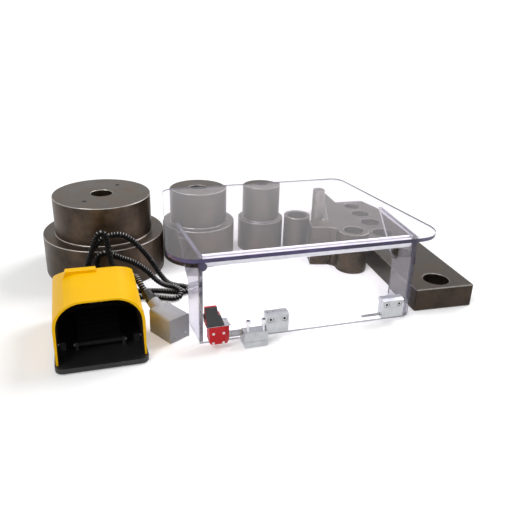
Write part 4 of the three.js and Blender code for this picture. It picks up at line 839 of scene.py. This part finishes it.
class BENDER_OT_flat_tools(bpy.types.Operator):
    """The bar with six holes and the bracket with its boss, from flat outlines given thickness and bevels."""

    bl_idname = "bender.flat_tools"
    bl_label = "Bar and bracket"

    def execute(self, context):
        self.add_bar(context.scene.bender_steel)
        self.add_bracket(context.scene.bender_steel)
        return {"FINISHED"}

    def add_bar(self, steel):
        """A long plate with a shoulder, a tongue and six holes of falling size."""
        flat = turn_outline(round_corners(BAR_OUTLINE, 4), *BAR_PLACE)
        holes = []
        for share, size in BAR_HOLES:
            x, y = turn_outline([(HOLE_LINE, BAR_LENGTH * share)], *BAR_PLACE)[0]
            holes.append((x, y, HOLE_RADIUS * size))
        bar = flat_plate("six_hole_bar_plate", flat, holes, 0.0, BAR_THICKNESS, steel.plate_bevel)
        material = steel_material("bar steel", tuple(place(*MILLING_CENTRE)), steel, MILLED)
        finish_piece(bar, material, "bar_body", ["six_hole_bar"])

    def add_bracket(self, steel):
        """A block whose edge runs through a fillet into a round boss."""
        web_x = BOSS_X - BOSS_RADIUS - FILLET
        t = np.radians(np.linspace(90, 0, 18))
        web = np.stack([web_x + FILLET * np.cos(t), BOSS_Y + FILLET * np.sin(t)], -1)
        last = math.degrees(math.acos((BRACKET_LENGTH - BOSS_X) / BOSS_RADIUS))
        t = np.radians(np.linspace(183, 360 + last, 70))
        boss = np.stack([BOSS_X + BOSS_RADIUS * np.cos(t), BOSS_Y + BOSS_RADIUS * np.sin(t)], -1)
        block = [
            (BRACKET_LENGTH, 46.5), (BRACKET_LENGTH - 1.5, 48), (1.5, 48), (0, 46.5), (0, 1.5), (1.5, 0),
            (web_x, 0)]
        flat = turn_outline(np.vstack([web, boss, block]), *BRACKET_PLACE)
        x, y = turn_outline([(BOSS_X, BOSS_Y)], *BRACKET_PLACE)[0]
        bracket = flat_plate("boss_bracket_plate", flat, [(x, y, BOSS_BORE)], 0.0, BRACKET_HEIGHT, 0.0016)
        material = steel_material("bracket steel", (x, y, 0), steel)
        finish_piece(bracket, material, "bracket_body", ["boss_bracket"])


GUARD_EDGE = 0.0006  # rounding of the sheets' and hinge leaves' edges
SOCKET_RADIUS, SOCKET_DEPTH = 0.0033, 0.0005
# The stud's place across and up the pane, how far before the pane each of its rings stands, and their radii
STUD_PLACE, STUD_STEPS, STUD_RADII = (5.6, 166.5), (0.2, 2.4, 3.0), (0.0088, 0.0088, 0.0080)


class BENDER_OT_guard(bpy.types.Operator):
    """Clear sheets of the guard, with their cut edges, and its metal parts."""

    bl_idname = "bender.guard"
    bl_label = "Guard"

    def execute(self, context):
        guard = context.scene.bender_guard
        rim = rim_material("sheet edge", tuple(guard.edge))
        clear = clear_material("clear sheet", guard.sheet, 1.2)
        cover = clear_material("cover sheet", guard.cover, 1.27)
        tinted = clear_material("tinted sheet", guard.panel)
        # Darker copy of the side panels' tint for the left panel: painted shade, not a different sheet
        shaded_panel = clear_material("smoky sheet", shade(guard.panel, 0.74))
        pale_rim = rim_material("pale sheet edge", tuple(guard.pale_edge), 0.42)
        # Darker copy of the upright sheets' edge for the front pane and left panel: painted shade
        shaded_rim = rim_material("shaded sheet edge", shade(guard.pale_edge, 0.45), 0.6)
        for name, across, material, edge in (
            ("guard_top_plate", 2, cover, rim), ("guard_front_pane", 1, clear, shaded_rim),
            ("guard_left_panel", 0, shaded_panel, shaded_rim), ("guard_right_panel", 0, tinted, pale_rim),
        ):
            piece = rounded_copy(name, name + "_rounded", GUARD_EDGE)
            finish_piece(piece, material, "guard", [name])
            paint_faces(piece, edge, lambda middle, normal: abs(normal[across]) < ALONG)
        rod = moulded_material("pale rod", (0.82, 0.82, 0.86, 1), 0.12, grain=800.0, depth=0.00001, spread=0.05)
        piece = rounded_copy("guard_tie_rod", "guard_tie_rod_rounded", GUARD_EDGE)
        finish_piece(piece, rod, "guard", ["guard_tie_rod"])
        paint_faces(piece, rim, lambda middle, normal: abs(normal.x) > ALONG)
        zinc = plated_material("zinc plate", tuple(guard.zinc), 0.30)
        finish_rounded(["left_hinge_leaf", "right_hinge_leaf"], zinc, "guard", GUARD_EDGE)
        finish_rounded(["floor_hinge_leaf", "floor_leaf_plate"], zinc, "guard_mount", GUARD_EDGE)
        bright = plated_material("bright screw", (0.72, 0.72, 0.74, 1), 0.2)
        fasteners = ["leaf_%s_%d" % (kind, k) for kind in ("screw", "nut") for k in (1, 2, 3, 4)]
        dress(fasteners + ["floor_leaf_screw_1", "floor_leaf_screw_2"], bright)
        shaft = plated_material("ground shaft", (0.34, 0.34, 0.35, 1), 0.25)
        dress(["hinge_shaft", "right_hinge_pin"], shaft)
        dress(["hinge_bush", "switch_cam"], plated_material("turned brass", (0.60, 0.42, 0.12, 1), 0.3))
        self.add_socket_shades()
        self.add_stud(rim_material("stud", shade(guard.edge, 0.8), 0.85, 0.5, 1.6))
        return {"FINISHED"}

    def add_stud(self, material):
        """Round stud in the pane's left top corner, a short tube square to the pane."""
        x, z = STUD_PLACE
        path = place_all([(x, -step, z) for step in STUD_STEPS])
        finish_stub("corner_stud", path, STUD_RADII, 48, material, "guard")

    def add_socket_shades(self):
        """Dark bottoms of painted shade in the socket screws' heads, each a short tube along the screw."""
        # Near-black colour: painted shade in the socket recesses
        dark = new_material("painted socket shade", 0.8, Base_Color=(0.008, 0.008, 0.009, 1))[0]
        for name, axis, body in (
            [("leaf_screw_%d" % k, 1, "guard") for k in (1, 2, 3, 4)]
            + [("floor_leaf_screw_%d" % k, 2, "guard_mount") for k in (1, 2)]
        ):
            low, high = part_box(name)
            end = (low + high) / 2
            end[axis] = low.y if axis == 1 else high.z
            step = Vector((0, SOCKET_DEPTH, 0)) if axis == 1 else Vector((0, 0, -SOCKET_DEPTH))
            path = [list(end + step), list(end + step * 0.4), list(end - step * 0.08)]
            finish_stub(name + "_socket", path, [SOCKET_RADIUS] * 3, 6, dark, body)


# The screws' places across and up the head's front, how far before the pane their rings stand, and the radii
SWITCH_SCREWS = ((20, 37.6), (40, 37.4), (19.5, 17.1), (39.6, 16.3))
SCREW_STEPS, SCREW_RADII = (30.6, 31.6, 31.9), (0.0027, 0.0027, 0.0022)


class BENDER_OT_switch(bpy.types.Operator):
    """Safety switch: moulded housing, its cover and its small screws."""

    bl_idname = "bender.switch"
    bl_label = "Safety switch"

    def execute(self, context):
        guard = context.scene.bender_guard
        red = moulded_material(
            "red moulding", tuple(guard.red), 0.3, grain=1500.0, depth=0.00002, spread=0.1, sheen=0.3)
        finish_rounded(["switch_head", "switch_body"], red, "guard", 0.0009)
        dark = moulded_material("dark moulding", (0.03, 0.03, 0.032, 1), 0.38)
        finish_rounded(["switch_cover"], dark, "guard", 0.0007)
        dress(["entry_plug"], dark)
        thin = plated_material("thin plate", (0.6, 0.6, 0.62, 1), 0.25)
        finish_rounded(["switch_mount_plate"], thin, "guard", 0.0004)
        dress(["switch_stem", "contact_block"], moulded_material("white moulding", (0.75, 0.75, 0.74, 1)))
        self.add_screws(plated_material("small screw", (0.62, 0.60, 0.60, 1), 0.3))
        return {"FINISHED"}

    def add_screws(self, material):
        """Four flat screw heads on the front of the switch's head, each a short tube square to it."""
        for index, (x, z) in enumerate(SWITCH_SCREWS):
            path = place_all([(x, -step, z) for step in SCREW_STEPS])
            name = "switch_head_screw_%d" % (index + 1)
            finish_stub(name, path, SCREW_RADII, 24, material, "guard")


HOOD_MIDDLE, HOOD_BACK = (-187, 40, 60), 105  # in the layout: the hollow's middle, and where the back starts


class BENDER_OT_pedal(bpy.types.Operator):
    """Hooded foot pedal: painted shell with a dark inside of painted shade, moulded base and treadle, latch and
    connector.
    """

    bl_idname = "bender.pedal"
    bl_label = "Foot pedal"

    def execute(self, context):
        pedal = context.scene.bender_pedal
        yellow = moulded_material(
            "yellow enamel", tuple(pedal.hood), 0.42, grain=1200.0, depth=0.00002, spread=0.05, sheen=0.12)
        # Painted shade: the faces that look into the hollow get the dark inner colour
        inner_shade = moulded_material("hood lining", tuple(pedal.inner_shade), 0.6)
        hood = rounded_copy("pedal_hood", "pedal_hood_rounded", pedal.edge, 3, 32)
        finish_piece(hood, yellow, "foot_pedal", ["pedal_hood"])
        paint_faces(hood, inner_shade, self.faces_inwards)
        black = moulded_material("black moulding", tuple(pedal.moulding), 0.42)
        finish_rounded(["pedal_base"], black, "foot_pedal", 0.0009)
        # Rougher copy of the black moulding for the treadle, darker as painted shade under the hood
        dull = moulded_material("dull shaded moulding", shade(pedal.moulding, 0.6), 0.65, sheen=0.2)
        finish_rounded(["treadle"], dull, "treadle_body", 0.0007)
        dress(["conduit_gland", "gland_nut", "connector_gland"], black)
        grey = moulded_material("grey moulding", (0.05, 0.05, 0.055, 1), 0.5)
        dress(["pedal_switch_block", "connector_insert"], grey)
        dress(["pedal_plunger"], moulded_material("pale moulding", (0.7, 0.7, 0.69, 1)))
        rubber = moulded_material("rubber", (0.015, 0.015, 0.015, 1), 0.85)
        dress(["pedal_foot_%d" % k for k in (1, 2, 3, 4)], rubber)
        dress(["toe_latch", "latch_frame"], moulded_material("dull zinc", (0.85, 0.87, 0.86, 1), 0.5))
        screw = plated_material("pedal screw", (0.6, 0.6, 0.62, 1), 0.25)
        dress(["hood_screw_1", "hood_screw_2", "latch_pin", "treadle_spring"], screw)
        dress(["treadle_pin"], plated_material("dark pin", (0.10, 0.10, 0.11, 1), 0.4))
        coat = moulded_material(
            "grey coat", tuple(pedal.connector), 0.38, grain=1800.0, depth=0.00004, spread=0.15)
        finish_rounded(["connector_hood"], coat, "foot_pedal", 0.0010)
        return {"FINISHED"}

    def faces_inwards(self, middle, normal):
        """Whether a face of the hood looks at the hollow's middle or, before the back, at the line through it."""
        away = middle - place(*HOOD_MIDDLE)
        if middle.y < place(0, HOOD_BACK, 0).y:
            away.y = 0.0
        return away.dot(normal) < -1e-5


FLOOR_HALF, FLOOR_TOP = 60.0, -0.0004
FLOOR_GLOW = 0.30  # brings the floor that the camera sees to white
SUNS = (("key", (-1.3, -0.9, 2.0), 20, 1.1), ("back", (1.5, 0.5, 1.5), 26, 1.75))  # place, spread and strength


class BENDER_OT_stage(bpy.types.Operator):
    """Pale floor, soft lamps and an even white surrounding."""

    bl_idname = "bender.stage"
    bl_label = "Stage"

    def execute(self, context):
        stage = context.scene.bender_stage
        scene = context.scene
        scene.view_settings.view_transform = "Standard"
        corners = [
            (x * FLOOR_HALF, y * FLOOR_HALF, FLOOR_TOP) for x, y in ((-1, -1), (1, -1), (1, 1), (-1, 1))]
        floor = add_mesh("floor", corners, [(0, 1, 2, 3)], smooth=False)
        floor.data.materials.append(self.floor_material(stage.floor))
        world = bpy.data.worlds.new("surrounding")
        world.use_nodes = True
        nodes, links = world.node_tree.nodes, world.node_tree.links
        seen = self.seen(nodes, links)
        lit = math_node(nodes, links, "MULTIPLY_ADD", seen, 1.0 - stage.ambient, stage.ambient)
        links.new(lit, nodes["Background"].inputs["Strength"])
        nodes["Background"].inputs["Color"].default_value = (1, 1, 1, 1)
        scene.world = world
        for name, spot, angle, power in SUNS:
            lamp = bpy.data.lights.new(name, "SUN")
            lamp.energy = power * stage.lamp
            lamp.angle = math.radians(angle)
            holder = add_object(name, lamp)
            holder.location = spot
            holder.rotation_mode = "QUATERNION"
            holder.rotation_quaternion = (-Vector(spot)).to_track_quat("-Z", "Y")
        return {"FINISHED"}

    def seen(self, nodes, links):
        """One for rays from the camera, reflections and rays through clear sheet, zero for soft light."""
        rays = nodes.new("ShaderNodeLightPath").outputs
        seen = math_node(nodes, links, "MAXIMUM", rays["Is Camera Ray"], rays["Is Transmission Ray"])
        return math_node(nodes, links, "MAXIMUM", seen, rays["Is Glossy Ray"])

    def floor_material(self, colour):
        """A pale floor that the camera sees a little brighter than it is lit."""
        material, nodes, links, shader = new_material(
            "pale floor", 0.9, Base_Color=tuple(colour), Specular_IOR_Level=0.1, Emission_Color=(1, 1, 1, 1))
        glow = math_node(nodes, links, "MULTIPLY", self.seen(nodes, links), FLOOR_GLOW)
        links.new(glow, shader.inputs["Emission Strength"])
        return material


# Panel and registration


class BENDER_PT_set(bpy.types.Panel):
    """Shows the set's settings and builders in the sidebar."""

    bl_idname = "BENDER_PT_set"
    bl_label = "Bender set"
    bl_space_type = "VIEW_3D"
    bl_region_type = "UI"
    bl_category = "Bender set"

    def draw(self, context):
        scene = context.scene
        for settings, operators in SECTIONS:
            group = getattr(scene, settings)
            for key in group.bl_rna.properties.keys():
                if key not in ("rna_type", "name"):
                    self.layout.prop(group, key)
            for operator in operators:
                self.layout.operator(operator.bl_idname)


SECTIONS = (
    ("bender_steel", (BENDER_OT_mandrels, BENDER_OT_flat_tools)),
    ("bender_guard", (BENDER_OT_guard, BENDER_OT_switch)),
    ("bender_pedal", (BENDER_OT_pedal,)),
    ("bender_conduit", (BENDER_OT_conduit,)),
    ("bender_stage", (BENDER_OT_camera, BENDER_OT_stage)),
)
SETTINGS = {
    "bender_conduit": ConduitSettings,
    "bender_steel": SteelSettings,
    "bender_guard": GuardSettings,
    "bender_pedal": PedalSettings,
    "bender_stage": StageSettings,
}
CLASSES = tuple(SETTINGS.values()) + tuple(o for _, group in SECTIONS for o in group) + (BENDER_PT_set,)


def register():
    for cls in CLASSES:
        bpy.utils.register_class(cls)
    for name, settings in SETTINGS.items():
        setattr(bpy.types.Scene, name, PointerProperty(type=settings))


def unregister():
    for name in SETTINGS:
        delattr(bpy.types.Scene, name)
    for cls in reversed(CLASSES):
        bpy.utils.unregister_class(cls)


def main():
    """Builds every piece in order."""
    register()
    for _, operators in SECTIONS:
        for operator in operators:
            group, name = operator.bl_idname.split(".")
            if getattr(getattr(bpy.ops, group), name)() != {"FINISHED"}:
                raise RuntimeError(operator.bl_label + " did not finish")


if __name__ == "__main__":
    main()
